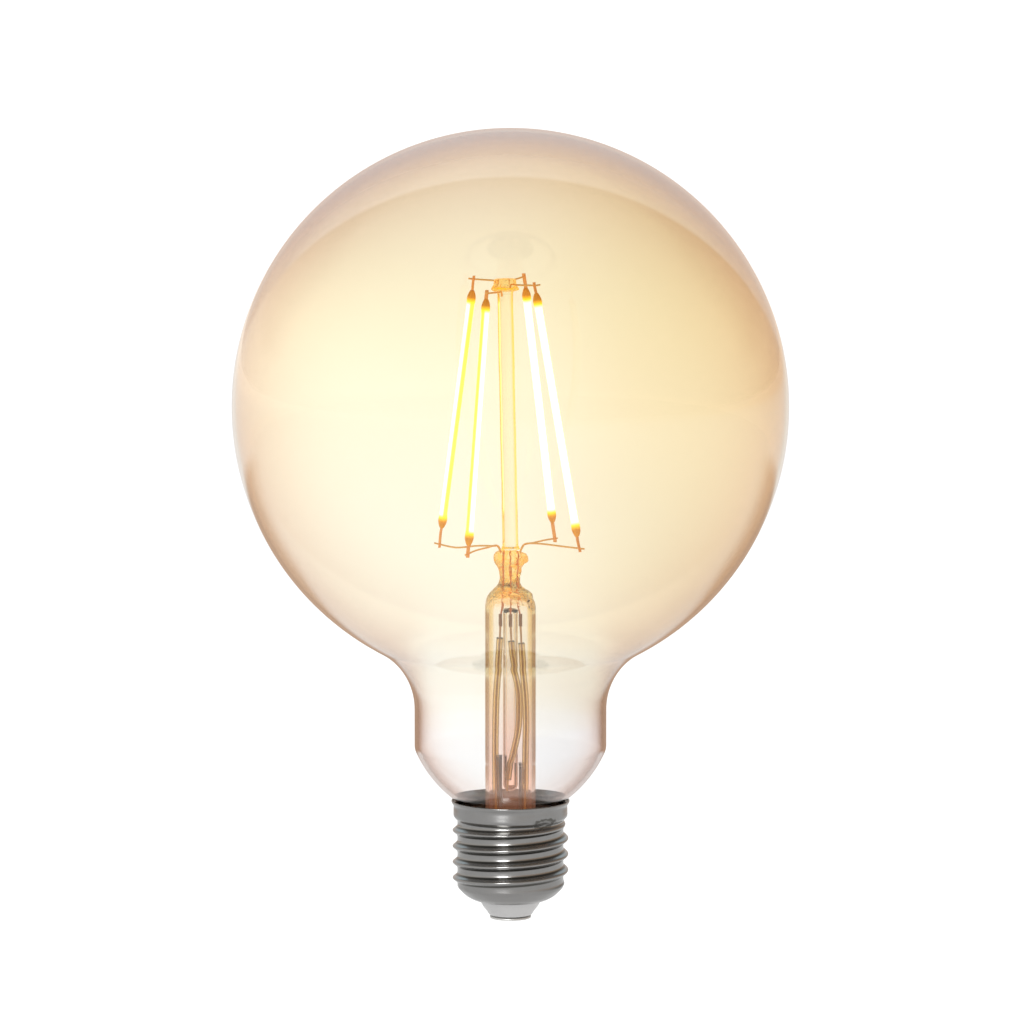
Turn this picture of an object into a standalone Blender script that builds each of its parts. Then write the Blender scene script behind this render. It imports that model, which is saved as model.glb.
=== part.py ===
"""Globe filament smart lamp on an E27 screw cap, built as its separate pieces.

The lamp's axis is Z and its centre contact faces down at the origin. X is to the right and Y points away
from the viewer. Heights are chained upwards from the contact: contact, insulator, screw shell, glass neck,
globe. The stem, the filaments and the boards are placed from those. Pieces that touch, or are fused, on the
real lamp keep CLEARANCE between them here.
"""

import math

import bmesh
import bpy
from mathutils import Matrix, Vector

MM = 0.001
CLEARANCE = 0.3 * MM
FULL_TURN = 2.0 * math.pi


def mm(*lengths):
    """Lengths given in millimetres, in metres."""
    return tuple(length * MM for length in lengths)


# Centre contact and insulator
CONTACT_RADIUS = 4.67 * MM
CONTACT_THICKNESS = 0.5 * MM
INSULATOR_FOOT_RADIUS = 4.8 * MM
INSULATOR_COLLAR_RADIUS = 7.2 * MM
INSULATOR_SEAT_HEIGHT = 4.2 * MM
INSULATOR_SEAT_THICKNESS = 1.6 * MM
INSULATOR_BORE_RADIUS = 1.1 * MM

# Screw shell, to the E27 cap standard
THREAD_PITCH = 3.629 * MM
THREAD_CREST_RADIUS = 13.1 * MM
THREAD_DEPTH = 1.1 * MM
THREAD_CREST_HEIGHT_AT_X = 18.26 * MM
THREAD_BOTTOM = 7.4 * MM
THREAD_FADE = 1.6 * MM
SHELL_WALL = 0.3 * MM
SHELL_SHOULDER_INSET = 1.6 * MM
SHELL_SHOULDER_HEIGHT = 5.8 * MM
SKIRT_INSET = 0.2 * MM
SKIRT_HEIGHT = 4.7 * MM
RIM_BEAD = 0.45 * MM
RIM_BEAD_HEIGHT = 0.7 * MM
RIM_HEIGHT = 27.0 * MM
CEMENT_THICKNESS = 1.3 * MM

# Glass envelope
GLOBE_RADIUS = 62.5 * MM
GLASS_WALL = 0.8 * MM
NECK_RADIUS = 21.65 * MM
NECK_STRAIGHT = 8.2 * MM
NECK_TO_GLOBE_FILLET = 15.0 * MM
SHOULDER_RADIUS = 4.0 * MM
SHOULDER_TURN = math.radians(24.0)
CONE_TURN = math.radians(32.0)
SEAL_FILLET = 2.0 * MM
SEAL_BELOW_RIM = 2.3 * MM
SEAL_DEPTH_IN_CAP = 6.8 * MM

# Stem
STEM_RADIUS = 5.7 * MM
STEM_WALL = 0.86 * MM
STEM_SHOULDER_ABOVE_RIM = 45.5 * MM
STEM_DOME_RISE = 3.4 * MM
PRESS_WAIST_RADIUS = 2.3 * MM
PRESS_HEAD_RADIUS = 3.8 * MM
PRESS_HEIGHT = 11.5 * MM
PRESS_LEAD_SPACING = 1.5 * MM
PRESS_LEADS_FORWARD = 0.9 * MM
LEAD_BEND_ABOVE_SHOULDER = 1.3 * MM
EXHAUST_RADIUS = 1.65 * MM
EXHAUST_WALL = 0.62 * MM
EXHAUST_TOP_BELOW_SHOULDER = 2.0 * MM
EXHAUST_TIP_ABOVE_RIM = 2.0 * MM

# Rod, button and wires
ROD_RADIUS = 1.8 * MM
ROD_LENGTH = 57.8 * MM
ROD_LEAN = -1.2 * MM
BUTTON_RADIUS = 2.7 * MM
BUTTON_HEIGHT = 2.9 * MM
WIRE_RADIUS = 0.2 * MM
WIRE_FREE_END = 2.0 * MM
LOWER_WIRE_ANCHOR = mm(2.7, 0.9)

# Filaments. Each is welded by hand, so its tabs and its height differ a little from its neighbours'.
FILAMENT_RADIUS = 0.95 * MM
FILAMENT_BORE = 0.62 * MM
FILAMENT_BODY_LENGTH = 55.0 * MM
SUBSTRATE_WIDTH = 0.6 * MM
SUBSTRATE_THICKNESS = 0.25 * MM
TAB_WIDTH = 0.85 * MM
TAB_THICKNESS = 0.25 * MM
FILAMENT_TOP_CIRCLE = 8.0 * MM
FILAMENT_BOTTOM_CIRCLE = 18.9 * MM
FILAMENT_AZIMUTHS = (149.0, 240.0, 57.5, 325.0)
FILAMENT_TIPS_ABOVE_BUTTON = mm(0.0, -2.5, 0.4, -0.9)
TOP_TAB_LENGTHS = mm(3.0, 1.7, 3.1, 2.2)
BOTTOM_TAB_LENGTHS = mm(4.3, 2.4, 4.4, 3.2)

# Wires inside the stem
SLEEVE_RADIUS = 0.72 * MM
SLEEVE_WALL = 0.22 * MM
SLEEVE_KNOT_SPACING = 3.5 * MM
JOINT_RADIUS = 0.6 * MM
JOINT_LENGTH = 2.0 * MM
JOINT_BELOW_SHOULDER = 3.2 * MM
JOINT_AZIMUTHS = (234.0, 270.0, 306.0)
SLEEVE_END_BELOW_RIM = 5.5 * MM

# Boards and what is on them. A size is along X, Y and Z.
DRIVER_BOARD_THICKNESS = 1.6 * MM
DRIVER_BOARD_HALF_WIDTH = 8.0 * MM
DRIVER_TONGUE_ABOVE_RIM = 9.9 * MM
RADIO_BOARD_THICKNESS = 0.6 * MM
RADIO_BOARD_FRONT = -4.5 * MM
RADIO_BOARD_BACK = 2.2 * MM
RADIO_BOARD_BOTTOM = 10.2 * MM
RADIO_TONGUE_ABOVE_RIM = 7.6 * MM
TONGUE_FRONT = -0.5 * MM
BOARD_BOTTOM = 8.2 * MM
BOARD_BELOW_SEAL = 0.7 * MM
CAPACITOR_RADIUS = 3.0 * MM
CAPACITOR_LENGTH = 9.0 * MM
BRIDGE_SIZE = mm(1.5, 3.8, 4.4)
CHIP_SIZE = mm(1.5, 3.9, 4.9)
SHIELD_SIZE = mm(1.5, 5.4, 6.4)
ANTENNA_SIZE = mm(0.6, 1.2, 3.2)
RESISTOR_RADIUS = 1.1 * MM
RESISTOR_LENGTH = 6.0 * MM
CHOKE_RADIUS = 2.6 * MM
CHOKE_LENGTH = 5.0 * MM
CHOKE_FLANGE = 0.8 * MM
CHOKE_WAIST_RADIUS = 1.1 * MM
PIN_RADIUS = 0.25 * MM
PIN_SPACING = 1.27 * MM

# Fineness of the round pieces
ENVELOPE_STEPS = 36
SHELL_STEPS = 32
SHELL_RINGS_PER_TURN = 6
STEM_STEPS = 20
SMALL_STEPS = 12

# Radii and heights worked out from the values above
THREAD_ROOT_RADIUS = THREAD_CREST_RADIUS - THREAD_DEPTH
THREAD_TOP = RIM_HEIGHT - SKIRT_HEIGHT
SKIRT_RADIUS = THREAD_CREST_RADIUS - SKIRT_INSET
RIM_RADIUS = SKIRT_RADIUS + RIM_BEAD
SHELL_SHOULDER_RADIUS = THREAD_ROOT_RADIUS - SHELL_SHOULDER_INSET
SHELL_MOUTH_RADIUS = INSULATOR_COLLAR_RADIUS + CLEARANCE
SEAL_RADIUS = SKIRT_RADIUS - SHELL_WALL - CEMENT_THICKNESS - 2.0 * CLEARANCE
SEAL_INNER_RADIUS = SEAL_RADIUS - GLASS_WALL
SEAL_TOP = RIM_HEIGHT - SEAL_BELOW_RIM
SEAL_BOTTOM = RIM_HEIGHT - SEAL_DEPTH_IN_CAP
NECK_FOOT_TURN = SHOULDER_TURN + CONE_TURN
CONE_CURVE_RADIUS = (
    NECK_RADIUS
    - SHOULDER_RADIUS * (1.0 - math.cos(SHOULDER_TURN))
    - SEAL_FILLET * (1.0 - math.cos(NECK_FOOT_TURN))
    - SEAL_RADIUS
) / (math.cos(SHOULDER_TURN) - math.cos(NECK_FOOT_TURN))
NECK_BOTTOM = (
    SEAL_TOP
    + SEAL_FILLET * math.sin(NECK_FOOT_TURN)
    + CONE_CURVE_RADIUS * (math.sin(NECK_FOOT_TURN) - math.sin(SHOULDER_TURN))
    + SHOULDER_RADIUS * math.sin(SHOULDER_TURN)
)
NECK_TOP = NECK_BOTTOM + NECK_STRAIGHT
GLOBE_HEIGHT = NECK_TOP + math.sqrt(
    (GLOBE_RADIUS + NECK_TO_GLOBE_FILLET) ** 2 - (NECK_RADIUS + NECK_TO_GLOBE_FILLET) ** 2
)
FLARE_CURVE_RADIUS = SEAL_INNER_RADIUS - CLEARANCE - STEM_RADIUS
FLARE_HEIGHT = SEAL_BOTTOM + STEM_WALL + FLARE_CURVE_RADIUS
STEM_INNER_RADIUS = STEM_RADIUS - STEM_WALL
STEM_SHOULDER_HEIGHT = RIM_HEIGHT + STEM_SHOULDER_ABOVE_RIM
PRESS_TOP = STEM_SHOULDER_HEIGHT + PRESS_HEIGHT
EXHAUST_TOP = STEM_SHOULDER_HEIGHT - EXHAUST_TOP_BELOW_SHOULDER
EXHAUST_BOTTOM = RIM_HEIGHT + EXHAUST_TIP_ABOVE_RIM
ROD_BOTTOM = PRESS_TOP + CLEARANCE
BUTTON_TOP = ROD_BOTTOM + ROD_LENGTH + CLEARANCE + BUTTON_HEIGHT
BOARD_BODY_TOP = SEAL_BOTTOM - BOARD_BELOW_SEAL
DRIVER_BOARD_X = -(EXHAUST_RADIUS + CLEARANCE + DRIVER_BOARD_THICKNESS / 2.0)
RADIO_BOARD_X = EXHAUST_RADIUS + CLEARANCE + RADIO_BOARD_THICKNESS / 2.0
DRIVER_FACE_LEFT = DRIVER_BOARD_X - DRIVER_BOARD_THICKNESS / 2.0
DRIVER_FACE_RIGHT = DRIVER_BOARD_X + DRIVER_BOARD_THICKNESS / 2.0
RADIO_FACE_LEFT = RADIO_BOARD_X - RADIO_BOARD_THICKNESS / 2.0
RADIO_FACE_RIGHT = RADIO_BOARD_X + RADIO_BOARD_THICKNESS / 2.0
DRIVER_TONGUE_BACK = math.sqrt((STEM_INNER_RADIUS - CLEARANCE) ** 2 - DRIVER_FACE_LEFT**2)

# Finishes: base colour, roughness, metallic
AMBER_GLASS = ((0.93, 0.66, 0.33), 0.05, 0.0)
CLEAR_GLASS = ((0.90, 0.84, 0.74), 0.05, 0.0)
NICKEL = ((0.47, 0.47, 0.46), 0.28, 1.0)
COPPER_TAB = ((0.55, 0.33, 0.20), 0.35, 1.0)
PHOSPHOR = ((0.98, 0.74, 0.28), 0.6, 0.0)
CERAMIC = ((0.90, 0.90, 0.88), 0.5, 0.0)
INSULATOR_GREY = ((0.62, 0.62, 0.60), 0.5, 0.0)
CEMENT = ((0.33, 0.30, 0.22), 0.9, 0.0)
BOARD_GREEN = ((0.05, 0.22, 0.10), 0.5, 0.0)
CHIP_BLACK = ((0.03, 0.03, 0.03), 0.5, 0.0)
FERRITE = ((0.09, 0.09, 0.09), 0.7, 0.0)
COPPER = ((0.72, 0.38, 0.20), 0.3, 1.0)
DARK_STRAND = ((0.16, 0.07, 0.04), 0.5, 0.0)
AMBER_SLEEVE = ((0.75, 0.42, 0.14), 0.4, 0.0)


def clear_scene():
    """Remove the objects of the scene that the script starts in."""
    for obj in list(bpy.data.objects):
        bpy.data.objects.remove(obj, do_unlink=True)


def new_collection(name):
    """Add a collection to the scene."""
    collection = bpy.data.collections.new(name)
    bpy.context.scene.collection.children.link(collection)
    return collection


def give_finish(obj, finish):
    """Give the object a Principled material of its own."""
    colour, roughness, metallic = finish
    material = bpy.data.materials.new(obj.name + "_finish")
    material.use_nodes = True
    shader = material.node_tree.nodes["Principled BSDF"]
    shader.inputs["Base Color"].default_value = (*colour, 1.0)
    shader.inputs["Roughness"].default_value = roughness
    shader.inputs["Metallic"].default_value = metallic
    obj.data.materials.clear()
    obj.data.materials.append(material)


def add_object(name, data, collection, finish):
    """Link a named object for the data and paint it."""
    obj = bpy.data.objects.new(name, data)
    collection.objects.link(obj)
    if finish:
        give_finish(obj, finish)
    return obj


def baked(obj):
    """Replace the object's mesh or curve by its evaluated, welded mesh. Returns the new object."""
    bpy.context.view_layer.update()
    graph = bpy.context.evaluated_depsgraph_get()
    data = bpy.data.meshes.new_from_object(obj.evaluated_get(graph))
    sheet = bmesh.new()
    sheet.from_mesh(data)
    bmesh.ops.remove_doubles(sheet, verts=sheet.verts, dist=1e-7)
    sheet.to_mesh(data)
    sheet.free()
    name = obj.name
    collection = obj.users_collection[0]
    place = obj.matrix_world.copy()
    bpy.data.objects.remove(obj, do_unlink=True)
    fresh = bpy.data.objects.new(name, data)
    fresh.matrix_world = place
    collection.objects.link(fresh)
    return fresh


def arc(centre, radius, start, end, steps):
    """Points (r, z) of an arc from angle start to angle end, in radians from +r towards +z."""
    radial, height = centre
    points = []
    for i in range(steps + 1):
        angle = start + (end - start) * i / steps
        points.append((radial + radius * math.cos(angle), height + radius * math.sin(angle)))
    return points


def turned(name, outline, collection, finish, steps, closed=False):
    """Turn an (r, z) outline about Z. It runs down its outer side; closed joins its last point to its first."""
    edges = [(i, i + 1) for i in range(len(outline) - 1)]
    if closed:
        edges.append((len(outline) - 1, 0))
    mesh = bpy.data.meshes.new(name)
    mesh.from_pydata([(r, 0.0, z) for r, z in outline], edges, [])
    obj = add_object(name, mesh, collection, finish)
    screw = obj.modifiers.new("turn", "SCREW")
    screw.axis = "Z"
    screw.angle = FULL_TURN
    screw.steps = steps
    screw.render_steps = steps
    screw.use_merge_vertices = True
    screw.merge_threshold = 1e-6
    screw.use_smooth_shade = True
    return obj


def box(name, size, centre, collection, finish, bevel=0.0):
    """A block of the given size about the centre, with its upright and level edges rounded by bevel."""
    mesh = bpy.data.meshes.new(name)
    block = bmesh.new()
    bmesh.ops.create_cube(block, size=1.0)
    bmesh.ops.scale(block, vec=size, verts=block.verts)
    block.to_mesh(mesh)
    block.free()
    obj = add_object(name, mesh, collection, finish)
    obj.location = centre
    if bevel:
        rounding = obj.modifiers.new("edges", "BEVEL")
        rounding.width = bevel
        rounding.segments = 1
    return obj


def cylinder(name, radius, length, centre, collection, finish, steps=SMALL_STEPS):
    """An upright cylinder about the centre."""
    mesh = bpy.data.meshes.new(name)
    drum = bmesh.new()
    bmesh.ops.create_cone(
        drum, cap_ends=True, segments=steps, radius1=radius, radius2=radius, depth=length
    )
    drum.to_mesh(mesh)
    drum.free()
    obj = add_object(name, mesh, collection, finish)
    obj.location = centre
    return obj


def smooth_route(route, spacing):
    """Points about spacing apart on a Catmull-Rom curve through the route's points."""
    points = [Vector(p) for p in route]
    points = [2.0 * points[0] - points[1]] + points + [2.0 * points[-1] - points[-2]]
    smooth = []
    for a, b, c, d in zip(points, points[1:], points[2:], points[3:]):
        count = max(1, round((c - b).length / spacing))
        for i in range(count):
            t = i / count
            smooth.append(
                0.5
                * (
                    2.0 * b
                    + (c - a) * t
                    + (2.0 * a - 5.0 * b + 4.0 * c - d) * t * t
                    + (3.0 * b - a - 3.0 * c + d) * t * t * t
                )
            )
    smooth.append(points[-2])
    return smooth


def wire(name, points, radius, collection, finish, capped=True):
    """A round wire through the points."""
    curve = bpy.data.curves.new(name, "CURVE")
    curve.dimensions = "3D"
    curve.bevel_depth = radius
    curve.bevel_resolution = 2
    curve.use_fill_caps = capped
    spline = curve.splines.new("POLY")
    spline.points.add(len(points) - 1)
    for knot, place in zip(spline.points, points):
        knot.co = (*place, 1.0)
    return add_object(name, curve, collection, finish)


def sleeve(name, points, radius, wall, collection, finish):
    """A flexible tube with open ends through the points."""
    skin = baked(wire(name, points, radius, collection, None, capped=False))
    give_finish(skin, finish)
    tube = skin.modifiers.new("wall", "SOLIDIFY")
    tube.thickness = wall
    tube.offset = -1.0
    return skin


def board(name, outline, thickness, x, collection, finish):
    """A flat board in the YZ plane at x, from its (y, z) outline."""
    curve = bpy.data.curves.new(name, "CURVE")
    curve.dimensions = "2D"
    curve.fill_mode = "BOTH"
    curve.extrude = thickness / 2.0
    spline = curve.splines.new("POLY")
    spline.points.add(len(outline) - 1)
    for knot, (y, z) in zip(spline.points, outline):
        knot.co = (y, z, 0.0, 1.0)
    spline.use_cyclic_u = True
    obj = add_object(name, curve, collection, finish)
    obj.matrix_world = Matrix(((0, 0, 1, x), (1, 0, 0, 0), (0, 1, 0, 0), (0, 0, 0, 1)))
    return obj


# ---- Cap -------------------------------------------------------------------------------------------


def thread_lift(height, angle):
    """How far the rolled thread raises the shell above its root at a height and angle."""
    turns = (height - THREAD_CREST_HEIGHT_AT_X) / THREAD_PITCH - angle / FULL_TURN
    wave = 0.5 + 0.5 * math.cos(FULL_TURN * turns)
    from_ends = min(height - THREAD_BOTTOM, THREAD_TOP - height)
    fade = max(0.0, min(1.0, from_ends / THREAD_FADE))
    return (THREAD_CREST_RADIUS - THREAD_ROOT_RADIUS) * wave * fade


def shell_outer():
    """Outer side of the screw shell, from the rim down to its mouth, before the thread is rolled."""
    rings = round((THREAD_TOP - THREAD_BOTTOM) / THREAD_PITCH * SHELL_RINGS_PER_TURN)
    step = (THREAD_TOP - THREAD_BOTTOM) / rings
    side = [
        (RIM_RADIUS, RIM_HEIGHT),
        (RIM_RADIUS, RIM_HEIGHT - RIM_BEAD_HEIGHT),
        (SKIRT_RADIUS, RIM_HEIGHT - 1.8 * RIM_BEAD_HEIGHT),
        (SKIRT_RADIUS, THREAD_TOP + THREAD_FADE / 2.0),
    ]
    side += [(THREAD_ROOT_RADIUS, THREAD_TOP - i * step) for i in range(rings + 1)]
    side += [
        (SHELL_SHOULDER_RADIUS + 1.0 * MM, SHELL_SHOULDER_HEIGHT + 0.8 * MM),
        (SHELL_SHOULDER_RADIUS, SHELL_SHOULDER_HEIGHT),
        (SHELL_SHOULDER_RADIUS - 0.9 * MM, INSULATOR_SEAT_HEIGHT + 0.5 * MM),
        (SHELL_MOUTH_RADIUS, INSULATOR_SEAT_HEIGHT),
    ]
    return side


def shell_inner(outer):
    """Inner side of the screw shell, from its mouth up to the rim."""
    floor = [(r, z + SHELL_WALL) for r, z in outer[-2:]]
    wall = [(r - SHELL_WALL, z + SHELL_WALL / 3.0) for r, z in outer[2:-2]]
    rim = [(RIM_RADIUS - SHELL_WALL, z) for z in (RIM_HEIGHT - RIM_BEAD_HEIGHT, RIM_HEIGHT)]
    return list(reversed(floor)) + list(reversed(wall)) + rim


def build_cap(collection):
    """Contact, insulator, screw shell with its rolled thread, and the cement that holds the glass."""
    contact = [
        (0.0, CONTACT_THICKNESS),
        (CONTACT_RADIUS, CONTACT_THICKNESS),
        (CONTACT_RADIUS, CONTACT_THICKNESS / 3.0),
        (CONTACT_RADIUS - CONTACT_THICKNESS / 3.0, 0.0),
        (0.0, 0.0),
    ]
    turned("centre_contact", contact, collection, NICKEL, 24)

    seat_bottom = INSULATOR_SEAT_HEIGHT + SHELL_WALL + CLEARANCE
    seat_top = seat_bottom + INSULATOR_SEAT_THICKNESS
    seat_radius = SHELL_SHOULDER_RADIUS - SHELL_WALL - 4.0 * CLEARANCE
    foot = CONTACT_THICKNESS + CLEARANCE
    insulator = [
        (INSULATOR_BORE_RADIUS, seat_top),
        (seat_radius, seat_top),
        (seat_radius, seat_bottom + INSULATOR_SEAT_THICKNESS / 2.0),
        (INSULATOR_COLLAR_RADIUS, seat_bottom),
        (INSULATOR_COLLAR_RADIUS, INSULATOR_SEAT_HEIGHT),
        (INSULATOR_FOOT_RADIUS, foot),
        (INSULATOR_BORE_RADIUS, foot),
    ]
    turned("cap_insulator", insulator, collection, INSULATOR_GREY, 28, closed=True)

    outer = shell_outer()
    shell = turned("screw_shell", outer + shell_inner(outer), collection, None, SHELL_STEPS, closed=True)
    shell = baked(shell)
    for vertex in shell.data.vertices:
        radius = math.hypot(vertex.co.x, vertex.co.y)
        lift = thread_lift(vertex.co.z, math.atan2(vertex.co.y, vertex.co.x))
        vertex.co.x *= 1.0 + lift / radius
        vertex.co.y *= 1.0 + lift / radius
    give_finish(shell, NICKEL)

    cement_top = SEAL_TOP - CLEARANCE
    cement_bottom = THREAD_TOP + THREAD_FADE / 2.0
    ring = [
        (SKIRT_RADIUS - SHELL_WALL - CLEARANCE, cement_top),
        (SKIRT_RADIUS - SHELL_WALL - CLEARANCE, cement_bottom),
        (SEAL_RADIUS + CLEARANCE, cement_bottom),
        (SEAL_RADIUS + CLEARANCE, cement_top),
    ]
    turned("cement_ring", ring, collection, CEMENT, 28, closed=True)


# ---- Glass -----------------------------------------------------------------------------------------


def envelope_side(inset, globe_steps):
    """One side of the glass wall from the top of the globe down to the seal, inset from the outer side."""
    globe = GLOBE_RADIUS - inset
    fillet = NECK_TO_GLOBE_FILLET + inset
    meeting = math.asin((GLOBE_HEIGHT - NECK_TOP) / (GLOBE_RADIUS + NECK_TO_GLOBE_FILLET))
    side = arc((0.0, GLOBE_HEIGHT), globe, math.pi / 2.0, -meeting, globe_steps)
    side[0] = (0.0, GLOBE_HEIGHT + globe)
    side += arc(
        (NECK_RADIUS + NECK_TO_GLOBE_FILLET, NECK_TOP), fillet, math.pi - meeting, math.pi, 4
    )[1:]
    shoulder = (NECK_RADIUS - SHOULDER_RADIUS, NECK_BOTTOM)
    side += arc(shoulder, SHOULDER_RADIUS - inset, 0.0, -SHOULDER_TURN, 2)
    reach = SHOULDER_RADIUS - CONE_CURVE_RADIUS
    cone = (
        shoulder[0] + reach * math.cos(SHOULDER_TURN),
        shoulder[1] - reach * math.sin(SHOULDER_TURN),
    )
    side += arc(cone, CONE_CURVE_RADIUS - inset, -SHOULDER_TURN, -NECK_FOOT_TURN, 5)[1:]
    seal = (SEAL_RADIUS + SEAL_FILLET, SEAL_TOP)
    side += arc(seal, SEAL_FILLET + inset, math.pi - NECK_FOOT_TURN, math.pi, 3)[1:]
    side.append((SEAL_RADIUS - inset, SEAL_BOTTOM))
    return side


def build_envelope(collection):
    """Blown glass globe with its neck, open at the seal inside the cap."""
    outer = envelope_side(0.0, 20)
    inner = envelope_side(GLASS_WALL, 15)
    turned("globe_envelope", outer + list(reversed(inner)), collection, AMBER_GLASS, ENVELOPE_STEPS)


# ---- Stem ------------------------------------------------------------------------------------------


def build_stem(collection, cutters):
    """Flared stem tube with its pinched press, the exhaust tube inside it, and the rod with its button."""
    dome_top = STEM_SHOULDER_HEIGHT + STEM_DOME_RISE
    waist = dome_top + 0.3 * (PRESS_TOP - dome_top)
    head = dome_top + 0.65 * (PRESS_TOP - dome_top)
    outer = [
        (0.0, PRESS_TOP),
        (0.8 * PRESS_HEAD_RADIUS, PRESS_TOP),
        (PRESS_HEAD_RADIUS, PRESS_TOP - 0.8 * MM),
        (PRESS_HEAD_RADIUS, head),
        (1.1 * PRESS_WAIST_RADIUS, 0.5 * (waist + head)),
        (PRESS_WAIST_RADIUS, waist),
        (1.2 * PRESS_WAIST_RADIUS, dome_top),
    ]
    rise = STEM_DOME_RISE
    outer += [
        (
            1.2 * PRESS_WAIST_RADIUS + (STEM_RADIUS - 1.2 * PRESS_WAIST_RADIUS) * math.sin(angle),
            STEM_SHOULDER_HEIGHT + rise * math.cos(angle),
        )
        for angle in (math.radians(a) for a in (30.0, 60.0, 90.0))
    ]
    flare = (STEM_RADIUS + FLARE_CURVE_RADIUS, FLARE_HEIGHT)
    outer += arc(flare, FLARE_CURVE_RADIUS, math.pi, 1.5 * math.pi, 4)
    inner = arc(flare, FLARE_CURVE_RADIUS + STEM_WALL, 1.5 * math.pi, math.pi, 4)
    inner += [
        (STEM_INNER_RADIUS, STEM_SHOULDER_HEIGHT),
        (0.75 * STEM_INNER_RADIUS, STEM_SHOULDER_HEIGHT + 0.55 * (rise - STEM_WALL)),
        (0.0, dome_top - STEM_WALL),
    ]
    stem = baked(turned("stem_tube", outer + inner, collection, None, STEM_STEPS))
    give_finish(stem, CLEAR_GLASS)
    for lead in (-1, 0, 1):
        hole = cylinder(
            f"lead_hole_{lead + 2}",
            WIRE_RADIUS + CLEARANCE,
            PRESS_HEIGHT + STEM_WALL,
            (lead * PRESS_LEAD_SPACING, -PRESS_LEADS_FORWARD, PRESS_TOP - PRESS_HEIGHT / 2.0 + STEM_WALL),
            cutters,
            None,
            steps=8,
        )
        hole.hide_render = True
        hole.display_type = "WIRE"
        cut = stem.modifiers.new(hole.name, "BOOLEAN")
        cut.operation = "DIFFERENCE"
        cut.object = hole

    tip = EXHAUST_BOTTOM + EXHAUST_RADIUS
    tube = [(EXHAUST_RADIUS, EXHAUST_TOP)]
    tube += arc((0.0, tip), EXHAUST_RADIUS, 0.0, -math.pi / 2.0, 3)[:-1]
    tube.append((0.0, EXHAUST_BOTTOM))
    bore = EXHAUST_RADIUS - EXHAUST_WALL
    tube += [(0.0, tip - bore), (bore, tip), (bore, EXHAUST_TOP), (EXHAUST_RADIUS, EXHAUST_TOP)]
    turned("exhaust_tube", tube, collection, CLEAR_GLASS, SMALL_STEPS)


def rod_axis():
    """Matrix that stands a piece on the leaning rod's foot."""
    lean = math.atan2(ROD_LEAN, ROD_LENGTH)
    return Matrix.Translation((0.0, 0.0, ROD_BOTTOM)) @ Matrix.Rotation(lean, 4, "Y")


def build_rod(collection):
    """Glass rod that leans a little, and the bead on it that holds the upper wires."""
    rod = cylinder("centre_rod", ROD_RADIUS, ROD_LENGTH, (0, 0, 0), collection, CLEAR_GLASS, 14)
    rod.matrix_world = rod_axis() @ Matrix.Translation((0.0, 0.0, ROD_LENGTH / 2.0))
    half = BUTTON_HEIGHT / 2.0
    bead = [
        (BUTTON_RADIUS * math.sin(math.pi * i / 6), half + half * math.cos(math.pi * i / 6))
        for i in range(7)
    ]
    bead[0] = (0.0, BUTTON_HEIGHT)
    bead[-1] = (0.0, 0.0)
    button = turned("rod_button", bead, collection, CLEAR_GLASS, SMALL_STEPS)
    button.matrix_world = rod_axis() @ Matrix.Translation((0.0, 0.0, ROD_LENGTH + CLEARANCE))


# ---- Filaments and their wires ---------------------------------------------------------------------


def rod_point(height):
    """The leaning rod's centre at a height."""
    share = (height - ROD_BOTTOM) / ROD_LENGTH
    return Vector((ROD_LEAN * share, 0.0, height))


def outward(azimuth):
    """Level unit vector at an azimuth in degrees."""
    angle = math.radians(azimuth)
    return Vector((math.cos(angle), math.sin(angle), 0.0))


def filament_tips(index):
    """Ends of a filament's two tabs: the upper one by the button, the lower one out on the wider circle."""
    away = outward(FILAMENT_AZIMUTHS[index])
    length = FILAMENT_BODY_LENGTH + TOP_TAB_LENGTHS[index] + BOTTOM_TAB_LENGTHS[index] + 2.0 * CLEARANCE
    top = rod_point(BUTTON_TOP + FILAMENT_TIPS_ABOVE_BUTTON[index]) + away * FILAMENT_TOP_CIRCLE
    bottom = away * FILAMENT_BOTTOM_CIRCLE
    bottom.z = top.z - math.sqrt(length**2 - (top - bottom).xy.length_squared)
    return bottom, top


def filament_frame(index):
    """Matrix with its origin at the lower tip, Z along the filament and X away from the lamp's axis."""
    bottom, top = filament_tips(index)
    along = (top - bottom).normalized()
    side = along.cross(outward(FILAMENT_AZIMUTHS[index])).normalized()
    front = side.cross(along)
    frame = Matrix((front, side, along)).transposed().to_4x4()
    return Matrix.Translation(bottom) @ frame


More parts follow.
